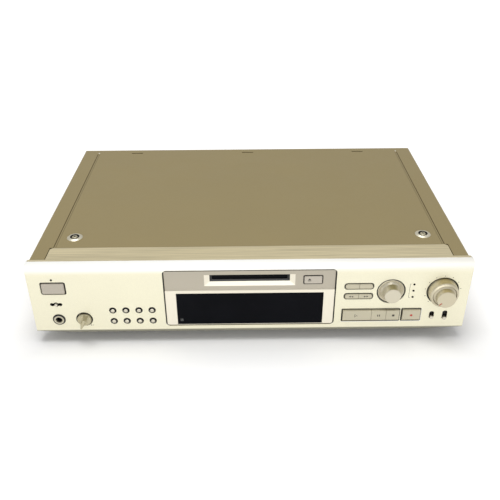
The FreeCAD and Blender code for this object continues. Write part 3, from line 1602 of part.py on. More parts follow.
def arm_hinge():
    """Axis of the head arm: (x, z)."""
    return (WALL_X + 8.0, ARM_Z)


def pickup_sled():
    """Pickup on two rails, with its lens, a rack and the upright that carries the head arm."""
    hinge_x, hinge_z = arm_hinge()
    z = RAIL_Z
    body = block(STATOR_R + 1.2, hinge_x + 3, RAIL_FRONT + 4, RAIL_REAR - 4, z - 2.5, z + 3.4)
    pads = [
        block(STATOR_R + 6, STATOR_R + 26, RAIL_FRONT - 4, RAIL_FRONT + 5, z - 3.4, z + 3.4),
        block(STATOR_R + 6, STATOR_R + 26, RAIL_REAR - 5, RAIL_REAR + 4.5, z - 3.4, z + 3.4),
    ]
    tower = rod_z(LENS_X, DISC_Y, z + 3, HOLDER_LOW - HOLDER_DROP - 0.6, TOWER_R)
    lens = turned_z(
        LENS_X, DISC_Y,
        [
            (0, HOLDER_LOW - HOLDER_DROP - 1),
            (2.6, HOLDER_LOW - HOLDER_DROP - 1),
            (2.6, HOLDER_LOW - HOLDER_DROP - 0.3),
            (0, HOLDER_LOW - HOLDER_DROP + 0.3),
        ],
    )
    upright = block(hinge_x - 2.4, hinge_x + 2.6, DISC_Y - 6, DISC_Y + 6, z, hinge_z - 2.6)
    ears = [
        block(hinge_x - 2.4, hinge_x + 2.6, DISC_Y + s * 5 - 1, DISC_Y + s * 5 + 1, hinge_z - 3, hinge_z + 2.4)
        for s in (-1, 1)
    ]
    rack_x = sled_gear_at()[0] - 8 * math.pi * RACK_MODULE
    rack = prism_z(
        [(rack_x + u, RAIL_REAR + 8.0 + v) for u, v in rack_path(RACK_MODULE, 10, 4.2)],
        z - 3.4, z + 0.6,
    )
    pin_bore = rod_y(hinge_x, hinge_z, DISC_Y - 9, DISC_Y + 9, 1.0 + 0.08)
    rails = [rod_x(-60, 90, y, z, RAIL_R + 0.08) for y in (RAIL_FRONT, RAIL_REAR)]
    return without(joined([body, tower, lens, upright, rack] + pads + ears), rails + [pin_bore])


def head_arm():
    """Arm over the disc that carries the recording head, on a pin in the sled's upright."""
    hinge_x, hinge_z = arm_hinge()
    low = hinge_z - ARM_WALL / 2 + ARM_RISE
    beam = block(LENS_X - 3, hinge_x + 1.5, DISC_Y - 2.5, DISC_Y + 2.5, low, low + ARM_WALL)
    crank = block(hinge_x - 1.5, hinge_x + 1.5, DISC_Y - 2.5, DISC_Y + 2.5, hinge_z, low + ARM_WALL)
    barrel = rod_y(hinge_x, hinge_z, DISC_Y - 3.6, DISC_Y + 3.6, 1.8)
    pin = rod_y(hinge_x, hinge_z, DISC_Y - 6, DISC_Y + 6, 1.0)
    head = block(LENS_X - 2.5, LENS_X + 2.5, DISC_Y - 2, DISC_Y + 2, HOLDER_HIGH + HOLDER_WALL + 0.6, low + 0.1)
    return joined([beam, crank, barrel, pin, head])


def build_case():
    save("front_panel", front_panel())
    save("top_cover", top_cover())
    save("bottom_chassis", bottom_chassis())
    save("rear_panel", rear_panel())
    save("feet", [foot(x, y) for x, y in foot_places()])
    save("cover_screws", cover_screws())
    save("screw_rosettes", [screw_rosette(side * ROSETTE_X) for side in (-1, 1)])
    save("center_bezel", center_bezel())
    save("display_window", display_window())
    save("slot_door", slot_door())


def build_controls():
    save("power_button", box_button(POWER, POWER_ROUND - 0.4, POWER_GAP, POWER_REACH, POWER_TRAVEL))
    for name, place in zip(ROUND_NAMES, round_places()):
        save(name + "_button", round_button(place))
    save("eject_button", eject_button())
    save("menu_button", half_button(-1, MENU_Z))
    save("yes_button", half_button(1, MENU_Z))
    save("rewind_button", half_button(-1, SEARCH_Z))
    save("forward_button", half_button(1, SEARCH_Z))
    save("play_button", transport_key(KEY_X[0], KEY_X[1], True, False))
    save("pause_button", transport_key(KEY_X[1], KEY_X[2], False, False))
    save("stop_button", transport_key(KEY_X[2], KEY_X[3], False, True))
    save("record_button", transport_key(RECORD_X[0], RECORD_X[1], True, True))
    save("phones_knob", level_knob())
    save("ams_knob", jog_knob())
    save("ams_shaft", jog_shaft())
    save("record_level_ring", level_ring())
    save("record_level_knob", level_inner())
    save("timer_slider", timer_slider())
    save("record_mode_slider", upright_slider(MODE_SLOT))
    save("input_slider", upright_slider(INPUT_SLOT))
    save("phones_jack", phones_jack())
    save("phones_bush", phones_bush())
    save("indicator_lenses", indicator_lenses())
    save("front_board", front_board())
    save("front_board_parts", front_board_parts())
    save("display_tube", display_tube())


def build_inside():
    save("rca_jacks", rca_jacks())
    save("optical_jacks", [optical_jack(place) for place in optical_places()])
    save("ac_inlet", ac_inlet())
    save("main_board", main_board())
    save("main_board_parts", main_board_parts())
    save("transformer", transformer())
    save("mechanism_frame", mechanism_frame())
    save("sled_rails", sled_rails())
    save("mechanism_motors", mechanism_motors())
    save("turntable", turntable())
    save("disc_holder", disc_holder())
    save("loading_slider", loading_slider())
    save("loading_gear", loading_gear())
    save("loading_pinion", loading_pinion())
    save("sled_gear", sled_gear())
    save("sled_pinion", sled_pinion())
    save("pickup_sled", pickup_sled())
    save("head_arm", head_arm())


os.makedirs("parts", exist_ok=True)
build_case()
build_controls()
build_inside()
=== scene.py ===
import bpy
import json
import math
from mathutils import Matrix, Vector


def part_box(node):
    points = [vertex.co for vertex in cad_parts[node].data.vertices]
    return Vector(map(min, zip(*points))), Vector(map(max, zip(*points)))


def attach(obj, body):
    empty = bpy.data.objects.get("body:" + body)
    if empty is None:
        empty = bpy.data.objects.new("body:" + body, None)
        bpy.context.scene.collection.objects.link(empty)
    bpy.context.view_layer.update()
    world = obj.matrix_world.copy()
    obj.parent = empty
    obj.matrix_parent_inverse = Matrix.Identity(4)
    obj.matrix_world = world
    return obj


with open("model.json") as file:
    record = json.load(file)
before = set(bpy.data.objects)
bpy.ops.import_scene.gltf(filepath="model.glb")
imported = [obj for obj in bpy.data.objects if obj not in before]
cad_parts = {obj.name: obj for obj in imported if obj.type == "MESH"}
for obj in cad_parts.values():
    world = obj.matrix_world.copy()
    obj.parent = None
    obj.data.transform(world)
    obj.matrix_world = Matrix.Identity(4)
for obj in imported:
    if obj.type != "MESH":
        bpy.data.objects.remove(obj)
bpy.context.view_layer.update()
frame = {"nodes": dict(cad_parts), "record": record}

MM = 0.001
BLACK = (0.006, 0.006, 0.006, 1.0)

# The main front face and the cover's top, in the frame's metres.
FACE_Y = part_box("front_panel")[0][1]
COVER_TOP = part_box("top_cover")[1][2]

# Camera, as fitted to the photograph's edges: millimetres from the middle, the front face and the
# floor, and degrees.
CAMERA_PLACE = (-3.7, -512.3, 423.2)
CAMERA_AZIMUTH = -0.46
CAMERA_ELEVATION = 31.57
CAMERA_ROLL = -0.33
SENSOR = 36.0
FOCAL_PIXELS = 643.5
PHOTO_PIXELS = 500
LENS = FOCAL_PIXELS / PHOTO_PIXELS * SENSOR

WORLD_LEVEL = 0.5
KEY_POWER = 20.0
FRONT_POWER = 15.0

# The floor's own light comes up in two steps of this strength. It is painted light, seen by the camera
# only, that leaves the floor darker near the case. The limits are distances from the case in metres,
# and the case is taken as an oblong with these half sides.
FLOOR_LIFT = 0.3
FLOOR_NEAR = (0.0, 0.07)
FLOOR_FAR = (0.4, 2.0)
CASE_HALF = (0.215, 0.148)

# From here on lengths are in millimetres, places run from the middle, the front face and the floor
# unless a comment says otherwise, and angles are in degrees.

# Front panel: half width inside its side walls, heights that hold its openings, depth from which an
# opening's wall carries painted shade, and the foot of its flat face, above which painted shade fades.
PANEL_INNER = 213.0
OPENINGS_LOW = 16.5
OPENINGS_HIGH = 85.9
WALL_SHADE_DEPTH = 0.6
FACE_LOW = 15.5

# Top cover: a pressed line's middle, half its floor, the reach of the painted shade on its edges aside
# and to the rear, and the painted highlight at its end.
GROOVE_X = 191.5
GROOVE_FLOOR = 0.55
GROOVE_ASIDE = 3.0
GROOVE_REAR = 270.0
GROOVE_END = (263.6, 0.9)

# Cup washers: place, and radius of the cup, which is black with painted shade.
ROSETTE = (175.6, 48.7)
CUP_R = 4.7

# Centre bezel: edges of its painted shade, the step from the window's top up, its face, the funnel and the
# slot.
BEZEL_EDGE = 82.6
BEZEL_TOP = 83.8
BEZEL_STEP = (3.2, 3.6)
BEZEL_FACE = 1.7
FUNNEL_HALF = 45.0
FUNNEL_LOW = 66.2
SLOT_Y = 4.0
SLOT_HALF = 39.8

# Flanges of the buttons, which reach behind the panel or the bezel round each opening.
POWER_FLANGE = 0.5
KEY_FLANGE = 0.7
EJECT_FLANGE = 1.4

# Openings of the front: corner radii, radii and the jog dial's axis, and the widths of the painted shade
# lines.
POWER_CORNER = 1.6
PAIR_CORNER = 2.4
KEY_CORNER = 0.5
EJECT_CORNER = 0.8
ROUND_R = 3.2
JOG = (137.95, 59.45)
JOG_R = 13.55
RECORD_R = 15.2
PHONES_LEVEL_R = 7.7
PHONES_R = 5.9
NARROW_LINE = 0.45
RING_LINE = 0.5
WIDE_LINE = 0.6

# Painted highlights on the bevels below the keys and beside the record key.
BEVELS_X = ((91.0, 149.4), (150.6, 170.5))
BEVEL = 0.6

# Printed marks, painted shade and painted highlights: how far a plate stands out and reaches in, how
# far a symbol sits above its key's middle or left of the eject button's, and the places and sizes of
# the other marks.
INK_LIFT = 0.03
INK_DEEP = 0.06
SYMBOL_RISE = 0.6
EJECT_SYMBOL_X = 3.6
TICKS = 11
TICK_START = 225
TICK_STEP = 27
TICK_REACH = 17.5
TICK_R = 0.42
POINTER_ANGLE = 221
POINTER_REACH = (5.6, 8.7)
POINTER_HALF = 0.4
PHONES_TICK = (-158.8, 22.0)
BRACKET_X = (155.6, 157.0)
BRACKET_Z = (51.9, 67.9)
SENSOR_FRAME = (-69.3, -66.7, 25.2, 27.9)
SENSOR_EYE = (-68.5, -67.5, 26.1, 27.0)
FINE_LINE = 0.3

# Painted shade in the screw recesses, the side screws, and the rings of the line sockets.
CROSS_REACH = 1.3
CROSS_HALF = 0.35
SIDE_SCREWS_Y = (62.0, 218.0)
SIDE_SCREWS_Z = 26.0
SOCKETS_X = (140.0, 160.0)
UPPER_SOCKETS_Z = 47.0
LOWER_SOCKETS_Z = 32.0
SOCKET_R = 3.5
SOCKET_LINE = 0.6


def srgb(r, g, b):
    """Linear colour of an 8-bit screen colour."""
    linear = []
    for value in (r, g, b):
        c = value / 255
        linear.append(c / 12.92 if c <= 0.04045 else ((c + 0.055) / 1.055) ** 2.4)
    return (*linear, 1.0)


def shade(color, gain):
    """The same colour made lighter or darker."""
    return (*[min(1.0, c * gain) for c in color[:3]], 1.0)


def at(x, y, z):
    """The frame's place, in metres, of a point in millimetres."""
    return Vector((x * MM, y * MM + FACE_Y, z * MM))


def middle_of(node):
    """Middle of a node, in the frame's metres."""
    low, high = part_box(node)
    return [(a + b) / 2 for a, b in zip(low, high)]


def front_of(node):
    """Middle of a node's front in millimetres: x, z, and the plane's own y."""
    x, _, z = middle_of(node)
    return x / MM, z / MM, (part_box(node)[0][1] - FACE_Y) / MM


def opening(first, last, flange):
    """Limits in x and z of the opening round a row of buttons, inside their flanges."""
    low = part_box(first)[0]
    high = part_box(last)[1]
    return low[0] / MM + flange, high[0] / MM - flange, low[2] / MM + flange, high[2] / MM - flange


# Materials

class Shader:
    """A material with one Principled shader, and short calls for the nodes that feed it."""

    def __init__(self, name, color, rough, metal=0.0, coat=0.0, specular=0.5):
        self.material = bpy.data.materials.new(name)
        self.material.use_nodes = True
        self.tree = self.material.node_tree
        self.main = self.tree.nodes["Principled BSDF"]
        self.main.inputs["Base Color"].default_value = color
        self.main.inputs["Roughness"].default_value = rough
        self.main.inputs["Metallic"].default_value = metal
        self.main.inputs["Coat Weight"].default_value = coat
        self.main.inputs["Coat Roughness"].default_value = 0.08
        self.main.inputs["Specular IOR Level"].default_value = specular
        self.place = self.node("ShaderNodeTexCoord").outputs["Object"]

    def node(self, kind, **settings):
        """A new node with its settings."""
        made = self.tree.nodes.new(kind)
        for key, value in settings.items():
            setattr(made, key, value)
        return made

    def put(self, value, socket):
        """Set a socket to a number or a colour, or link another node's socket to it."""
        if isinstance(value, (int, float, tuple)):
            socket.default_value = value
        else:
            self.tree.links.new(value, socket)

    def feed(self, name, source):
        """Link a node's socket to an input of the Principled shader."""
        self.put(source, self.main.inputs[name])

    def base(self):
        """The socket that feeds the base colour so far."""
        return self.main.inputs["Base Color"].links[0].from_socket

    def noise(self, scale, detail=3.0, along=(1, 1, 1), place=None):
        """Noise over the object's coordinates, stretched along its axes, or over a given place."""
        if place is None:
            mapping = self.node("ShaderNodeMapping")
            mapping.inputs["Scale"].default_value = along
            self.put(self.place, mapping.inputs["Vector"])
            place = mapping.outputs["Vector"]
        made = self.node("ShaderNodeTexNoise")
        made.inputs["Scale"].default_value = scale
        made.inputs["Detail"].default_value = detail
        self.put(place, made.inputs["Vector"])
        return made.outputs["Fac"]

    def math(self, kind, *values):
        """One arithmetic step over numbers or sockets."""
        made = self.node("ShaderNodeMath", operation=kind)
        for value, socket in zip(values, made.inputs):
            self.put(value, socket)
        return made.outputs["Value"]

    def both(self, *masks):
        """1 where every mask is 1."""
        whole = masks[0]
        for mask in masks[1:]:
            whole = self.math("MULTIPLY", whole, mask)
        return whole

    def ramp(self, source, low, high, from_low=0.0, from_high=1.0):
        """A value that goes from low to high while the source crosses its own two limits."""
        made = self.node("ShaderNodeMapRange")
        made.inputs["From Min"].default_value = from_low
        made.inputs["From Max"].default_value = from_high
        made.inputs["To Min"].default_value = low
        made.inputs["To Max"].default_value = high
        self.put(source, made.inputs["Value"])
        return made.outputs["Result"]

    def blend(self, factor, first, second):
        """Colour between two, each a colour or a socket."""
        made = self.node("ShaderNodeMix", data_type="RGBA")
        self.put(factor, made.inputs["Factor"])
        self.put(first, made.inputs[6])
        self.put(second, made.inputs[7])
        return made.outputs[2]

    def tones(self, source, color, dark, light, low=0.3, high=0.7):
        """Colour that a pattern moves between a darker and a lighter tone of itself."""
        return self.blend(self.ramp(source, 0, 1, low, high), shade(color, dark), shade(color, light))

    def gloss(self, source, low, high):
        """Let a pattern move the roughness between two values."""
        self.feed("Roughness", self.ramp(source, low, high, 0.3, 0.7))

    def darken(self, mask, dark=BLACK):
        """Mix the base colour towards a dark one where the mask is 1."""
        self.feed("Base Color", self.blend(mask, self.base(), dark))

    def bump(self, height, distance):
        """Relief of the surface from a pattern, with its depth in metres."""
        made = self.node("ShaderNodeBump")
        made.inputs["Strength"].default_value = 1.0
        made.inputs["Distance"].default_value = distance
        self.put(height, made.inputs["Height"])
        self.feed("Normal", made.outputs["Normal"])

    def axis(self, name):
        """One axis of the place, in the frame's metres."""
        made = self.node("ShaderNodeSeparateXYZ")
        self.put(self.place, made.inputs["Vector"])
        return made.outputs[name]

    def facing(self, name):
        """One axis of the surface's own normal."""
        made = self.node("ShaderNodeSeparateXYZ")
        self.put(self.node("ShaderNodeNewGeometry").outputs["Normal"], made.inputs["Vector"])
        return made.outputs[name]

    def depth(self):
        """How far a place lies behind the main front face, in metres."""
        return self.math("SUBTRACT", self.axis("Y"), FACE_Y)

    def aside(self):
        """How far a place lies from the middle plane, in metres."""
        return self.math("ABSOLUTE", self.axis("X"))

    def radius(self, across, along):
        """Distance from an axis, of its two parts."""
        return self.math("SQRT", self.math("ADD", self.both(across, across), self.both(along, along)))

    def above(self, source, edge, soft=0.05):
        """1 where a distance is over an edge in millimetres."""
        return self.ramp(source, 0, 1, edge * MM, (edge + soft) * MM)

    def below(self, source, edge, soft=0.05):
        """1 where a distance is under an edge in millimetres."""
        return self.ramp(source, 1, 0, edge * MM, (edge + soft) * MM)

    def seen(self):
        """1 where the camera, a mirror or glass sees the surface, 0 for the light that it gives off."""
        path = self.node("ShaderNodeLightPath")
        direct = self.math("MAXIMUM", path.outputs["Is Camera Ray"], path.outputs["Is Glossy Ray"])
        return self.math("MAXIMUM", direct, path.outputs["Is Transmission Ray"])


def plain_finish(name, color, rough, metal=0.0, relief=0.00002, spread=0.05, coat=0.0):
    """Moulded or painted surface: fine grain, slight cloudiness in colour and gloss."""
    m = Shader(name, color, rough, metal, coat)
    m.feed("Base Color", m.tones(m.noise(22.0, 2.0), color, 1 - spread, 1 + spread))
    m.gloss(m.noise(60.0), rough * 0.9, rough * 1.12)
    m.bump(m.noise(900.0, 2.0), relief)
    return m


def flake_finish(name, color, rough, metal, flake, grain=1800.0, relief=0.00001):
    """Metallic paint: fine bright and dark flakes over a body colour."""
    m = Shader(name, color, rough, metal, coat=0.15)
    body = m.tones(m.noise(14.0, 2.0), color, 0.98, 1.02)
    spark = m.tones(m.noise(2600.0, 1.0), color, 1 - flake, 1 + flake, 0.35, 0.65)
    m.feed("Base Color", m.blend(0.5, body, spark))
    m.gloss(m.noise(35.0), rough * 0.92, rough * 1.1)
    m.bump(m.noise(grain, 2.0), relief)
    return m


def panel_paint():
    """Front panel: pearl champagne, a painted highlight on its rounded nose, a brushed band along its top in
    a tone darkened as painted shade, and painted shade on the walls of its openings and along the foot of its
    face.
    """
    m = flake_finish("panel_paint", srgb(245, 240, 213), 0.42, 0.25, 0.06)
    # Painted highlight: faces that lean up, on the rounded nose, are lighter, brighter on the left than on
    # the right.
    nose_highlight = m.blend(m.ramp(m.axis("X"), 0, 1, -0.05, 0.2), srgb(250, 250, 246), srgb(238, 236, 228))
    body = m.blend(m.ramp(m.facing("Z"), 0, 1, 0.05, 0.3), m.base(), nose_highlight)
    # Painted shade: the band on top, the same paint as the face, takes a darker tone where it faces up; its
    # streaks are real brushing.
    streaks = m.noise(900.0, 4.0, along=(0.02, 1, 1))
    brushed_and_shaded = m.tones(streaks, srgb(212, 199, 161), 0.84, 1.12, 0.35, 0.65)
    m.feed("Base Color", m.blend(m.ramp(m.facing("Z"), 0, 1, 0.93, 0.99), body, brushed_and_shaded))
    height = m.axis("Z")
    openings = m.both(m.above(height, OPENINGS_LOW), m.below(height, OPENINGS_HIGH))
    # Painted shade: the walls of the openings turn black from a small depth behind the face.
    m.darken(m.both(m.above(m.depth(), WALL_SHADE_DEPTH), m.below(m.aside(), PANEL_INNER), openings))
    # Painted shade along the foot of the face, darkest at its lower edge, fading out within a millimetre.
    m.darken(m.ramp(height, 0.7, 0, (FACE_LOW + 0.1) * MM, (FACE_LOW + 1.0) * MM), srgb(70, 66, 52))
    return m


def cover_paint():
    """Top cover: champagne metallic paint, with painted shade along the edges of its two pressed lines."""
    m = flake_finish("cover_paint", srgb(163, 147, 103), 0.46, 0.35, 0.12, 1500.0, 0.00004)
    sunk = m.ramp(m.axis("Z"), 1, 0, COVER_TOP - 0.45 * MM, COVER_TOP - 0.1 * MM)
    across = m.math("SUBTRACT", m.aside(), GROOVE_X * MM)
    wall = m.above(m.math("ABSOLUTE", across), GROOVE_FLOOR, 0.3)
    near = m.both(m.below(across, GROOVE_ASIDE), m.below(m.depth(), GROOVE_REAR))
    # Painted shade on the walls of the pressed lines.
    m.darken(m.both(sunk, wall, near), srgb(104, 92, 58))
    return m


def button_paint(name, color, rough, metal, edge):
    """Button paint that turns black beyond an edge, in millimetres behind the panel's face: painted shade in
    the gap.
    """
    m = flake_finish(name, color, rough, metal, 0.05)
    # Painted shade: the button's sides go black where they sit in the gap of their opening.
    m.darken(m.above(m.depth(), edge))
    return m


def bezel_paint():
    """Centre bezel: grey above the step, cream below it, and painted shade on its edges, recesses and slot.
    """
    upper = srgb(188, 180, 163)
    edge = srgb(52, 48, 40)
    m = flake_finish("bezel_paint", srgb(246, 239, 220), 0.40, 0.25, 0.05)
    grey = m.tones(m.noise(2400.0, 1.0), upper, 0.96, 1.04, 0.35, 0.65)
    window_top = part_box("display_window")[1][2]
    height = m.axis("Z")
    depth = m.depth()
    step = m.ramp(height, 0, 1, *[window_top + rise * MM for rise in BEZEL_STEP])
    funnel = m.both(m.below(m.aside(), FUNNEL_HALF), m.above(height, FUNNEL_LOW))
    flat = m.math("SUBTRACT", 1.0, m.both(funnel, m.above(depth, BEZEL_FACE + 0.03)))
    m.feed("Base Color", m.blend(m.both(step, flat), m.base(), grey))
    # Painted shade: black in the recesses behind the bezel's face, outside the funnel.
    m.darken(m.both(m.above(depth, BEZEL_FACE + 0.4), m.math("SUBTRACT", 1.0, funnel)))
    # Painted shade along the outer edges, where the gap to the panel falls in shade.
    m.darken(m.above(m.aside(), BEZEL_EDGE, 0.2), edge)
    m.darken(m.above(height, BEZEL_TOP, 0.2), edge)
    # Painted shade: black inside the slot.
    m.darken(m.both(m.above(depth, SLOT_Y - 0.7), m.below(m.aside(), SLOT_HALF)))
    return m


def turned_metal(name, node, color, upward_shade):
    """Knob finish: fine rings about the knob's own axis, and painted shade in a deeper tone where it faces
    up.
    """
    m = Shader(name, color, 0.34, 0.55)
    x, _, z = middle_of(node)
    radius = m.radius(m.math("SUBTRACT", m.axis("X"), x), m.math("SUBTRACT", m.axis("Z"), z))
    turned = m.node("ShaderNodeCombineXYZ")
    m.put(m.math("MULTIPLY", radius, 9000.0), turned.inputs["X"])
    m.put(m.math("MULTIPLY", m.axis("Y"), 5000.0), turned.inputs["Y"])
    rings = m.noise(1.0, 2.0, place=turned.outputs["Vector"])
    m.feed("Base Color", m.tones(rings, color, 0.93, 1.06))
    # Painted shade: faces that look up take a deeper tone.
    m.darken(m.ramp(m.facing("Z"), 0, 1, 0.78, 0.97), upward_shade)
    m.gloss(rings, 0.30, 0.42)
    m.bump(rings, 0.00001)
    return m


def dark_gloss(name, color):
    """Almost black gloss with a faint streakiness."""
    m = Shader(name, color, 0.12, specular=0.04)
    m.feed("Base Color", m.tones(m.noise(40.0, 2.0), color, 0.85, 1.15))
    m.gloss(m.noise(120.0), 0.10, 0.16)
    return m


def sheet_steel(name, color):
    """Zinc-plated sheet with long rolling marks."""
    m = Shader(name, color, 0.38, 0.8)
    marks = m.noise(500.0, 4.0, along=(0.03, 1, 1))
    m.feed("Base Color", m.tones(marks, color, 0.9, 1.08))
    m.gloss(m.noise(30.0, 4.0), 0.32, 0.48)
    m.bump(marks, 0.000008)
    return m


def rosette_metal():
    """Cup washer: satin metal, with the cup round the screw's head black with painted shade."""
    m = sheet_steel("rosette_metal", srgb(232, 226, 204))
    across = m.math("SUBTRACT", m.aside(), ROSETTE[0] * MM)
    along = m.math("SUBTRACT", m.depth(), ROSETTE[1] * MM)
    # Painted shade: black in the hollow of the cup.
    m.darken(m.below(m.radius(across, along), CUP_R))
    return m


def board_finish():
    """Circuit board: solder mask over copper tracks."""
    mask = srgb(34, 84, 46)
    track = srgb(52, 110, 58)
    m = Shader("board_finish", mask, 0.35, coat=0.3)
    cells = m.node("ShaderNodeTexVoronoi", distance="MANHATTAN", feature="DISTANCE_TO_EDGE")
    cells.inputs["Scale"].default_value = 160.0
    m.put(m.place, cells.inputs["Vector"])
    edge = m.ramp(cells.outputs["Distance"], 0, 1, 0.04, 0.10)
    m.feed("Base Color", m.blend(edge, mask, track))
    m.bump(edge, 0.00002)
    return m


def build_materials():
    """Every look of the deck, by a short name."""
    return {
        "panel": panel_paint(),
        "cover": cover_paint(),
        "bezel": bezel_paint(),
        "window": dark_gloss("smoked_window", srgb(13, 14, 18)),
        "key": button_paint("key_paint", srgb(197, 190, 166), 0.40, 0.35, 0.8),
        "cap": button_paint("cap_paint", srgb(214, 208, 192), 0.34, 0.5, 0.8),
        # The round buttons' sides carry painted shade, black from 0.8 mm in front of the face
        "round": button_paint("round_paint", srgb(212, 206, 188), 0.34, 0.4, -0.8),
        "power": button_paint("power_paint", srgb(186, 178, 164), 0.42, 0.3, 0.8),
        "eject": button_paint("eject_paint", srgb(192, 184, 170), 0.42, 0.3, 2.3),
        "jog": turned_metal("jog_metal", "ams_knob", srgb(208, 201, 180), srgb(150, 141, 104)),
        "level": turned_metal("level_metal", "record_level_ring", srgb(203, 194, 168), srgb(172, 158, 114)),
        "phones": turned_metal("phones_metal", "phones_knob", srgb(190, 182, 152), srgb(116, 108, 84)),
        "black": plain_finish("black_moulding", srgb(20, 20, 21), 0.45),
        "door": dark_gloss("door_moulding", srgb(14, 15, 19)),
        "foot": plain_finish("foot_moulding", srgb(24, 24, 24), 0.6, relief=0.00006),
        "lens": dark_gloss("lamp_lens", srgb(26, 21, 17)),
        "sheet": sheet_steel("sheet_steel", srgb(178, 176, 168)),
        "screw": sheet_steel("screw_steel", srgb(208, 200, 172)),
        "rosette": rosette_metal(),
        "bush": sheet_steel("bush_metal", srgb(206, 200, 178)),
        "steel": sheet_steel("drive_steel", srgb(188, 188, 184)),
        "zinc": plain_finish("cast_zinc", srgb(150, 150, 150), 0.5, 0.7, relief=0.00005),
        "board": board_finish(),
        "parts": plain_finish("component_black", srgb(28, 28, 30), 0.5),
        "glass": plain_finish("tube_glass", srgb(60, 70, 70), 0.08, coat=0.5),
        "core": sheet_steel("core_steel", srgb(92, 92, 96)),
        "gear": plain_finish("acetal_white", srgb(224, 224, 214), 0.4),
    }


SLOT_LOOK = {
    "panel_champagne": "panel", "cover_paint": "cover", "chassis_steel": "sheet", "foot_plastic": "foot",
    "screw_steel": "screw", "rosette_metal": "rosette", "bezel_plastic": "bezel", "window_smoke": "window",
    "door_black": "door", "button_champagne": "key", "knob_champagne": "jog", "black_plastic": "black",
    "bush_metal": "bush", "lamp_lens": "lens", "board_laminate": "board", "component_black": "parts",
    "tube_glass": "glass", "core_steel": "core", "drive_steel": "steel", "gear_white": "gear",
    "sled_zinc": "zinc",
}
NODE_LOOK = {
    "power_button": "power", "eject_button": "eject", "phones_knob": "phones",
    "record_level_ring": "level", "record_level_knob": "level",
    "timer_slider": "cap", "record_mode_slider": "cap", "input_slider": "cap",
}
ROUND_BUTTONS = ("scroll", "time", "fader", "display", "continue", "shuffle", "program", "repeat")


def dress_nodes(looks):
    """Give each CAD node its material."""
    slot_of = {part["node"]: part["material_slot"] for part in frame["record"]["subparts"]}
    for node, thing in frame["nodes"].items():
        look = NODE_LOOK.get(node, SLOT_LOOK[slot_of[node]])
        if node.removesuffix("_button") in ROUND_BUTTONS:
            look = "round"
        thing.data.materials.clear()
        thing.data.materials.append(looks[look].material)


# Printed marks, painted shade and painted highlights: thin plates just proud of the surface that carries them

def upright(y):
    """Places of (x, z) on the plane y, lifted towards the front."""
    return lambda a, b, lift: at(a, y - lift, b)


def level(z):
    """Places of (x, y) on the plane z, lifted upwards."""
    return lambda a, b, lift: at(a, b, z + lift)


def backward(y):
    """Places of (x, z) on the plane y of the back, lifted to the rear."""
    return lambda a, b, lift: at(a, y + lift, b)


def sideways(x):
    """Places of (y, z) on the plane x, lifted outwards."""
    return lambda a, b, lift: at(x + math.copysign(lift, x), a, b)


def plate(name, outlines, plane, body, ink, laid=upright):
    """One piece of thin plates over outlines, on the plane that the last argument lays them on."""
    verts = []
    faces = []
    spot = laid(plane)
    for outline in outlines:
        start = len(verts)
        count = len(outline)
        for lift in (INK_LIFT, -INK_DEEP):
            verts += [spot(a, b, lift) for a, b in outline]
        faces.append([start + i for i in range(count)])
        faces.append([start + count + i for i in reversed(range(count))])
        for i in range(count):
            j = (i + 1) % count
            faces.append([start + i, start + count + i, start + count + j, start + j])
    mesh = bpy.data.meshes.new(name)
    mesh.from_pydata(verts, [], faces)
    mesh.update()
    thing = bpy.data.objects.new(name, mesh)
    bpy.context.collection.objects.link(thing)
    mesh.materials.append(ink.material)
    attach(thing, body)


def disc(x, z, r, steps=16):
    """Outline of a round mark."""
    turns = [2 * math.pi * i / steps for i in range(steps)]
    return [(x + r * math.cos(turn), z + r * math.sin(turn)) for turn in turns]


def bar(x0, x1, z0, z1):
    """Outline of an oblong mark."""
    return [(x0, z0), (x1, z0), (x1, z1), (x0, z1)]


def arrow(x, z, size, way):
    """Triangle that points right (way 1) or left (way -1)."""
    return [(x - way * size, z - size), (x + way * size, z), (x - way * size, z + size)]


def rounded(x0, x1, z0, z1, r, steps=4):
    """Outline of an oblong with round corners."""
    points = []
    corners = ((x1 - r, z1 - r), (x0 + r, z1 - r), (x0 + r, z0 + r), (x1 - r, z0 + r))
    for quarter, (cx, cz) in enumerate(corners):
        for i in range(steps + 1):
            turn = math.radians(90 * quarter + 90 * i / steps)
            points.append((cx + r * math.cos(turn), cz + r * math.sin(turn)))
    return points


def cross(a, b):
    """Two bars across each other: painted shade in the recess of a screw."""
    return [
        bar(a - CROSS_REACH, a + CROSS_REACH, b - CROSS_HALF, b + CROSS_HALF),
        bar(a - CROSS_HALF, a + CROSS_HALF, b - CROSS_REACH, b + CROSS_REACH),
    ]


def frame_lines(x0, x1, z0, z1, w):
    """Four bars along the sides of an oblong."""
    lying = [bar(x0, x1, z0, z0 + w), bar(x0, x1, z1 - w, z1)]
    standing = [bar(x0, x0 + w, z0 + w, z1 - w), bar(x1 - w, x1, z0 + w, z1 - w)]
    return lying + standing


def border(outer, inner):
    """Four-sided pieces between two outlines with the same number of points."""
    count = len(outer)
    return [[outer[i], outer[(i + 1) % count], inner[(i + 1) % count], inner[i]] for i in range(count)]


def oblong_edge(x0, x1, z0, z1, r, wide):
    """Edge line round an opening with round corners."""
    outer = rounded(x0 - wide, x1 + wide, z0 - wide, z1 + wide, r + wide)
    return border(outer, rounded(x0, x1, z0, z1, r))


def round_edge(place, r, wide, steps=40):
    """Edge line round a round opening."""
    return border(disc(*place, r + wide, steps), disc(*place, r, steps))


def symbol(node, outlines, plane, ink):
    """Symbol that moves with its key."""
    plate(node.replace("button", "mark"), outlines, plane, node, ink)


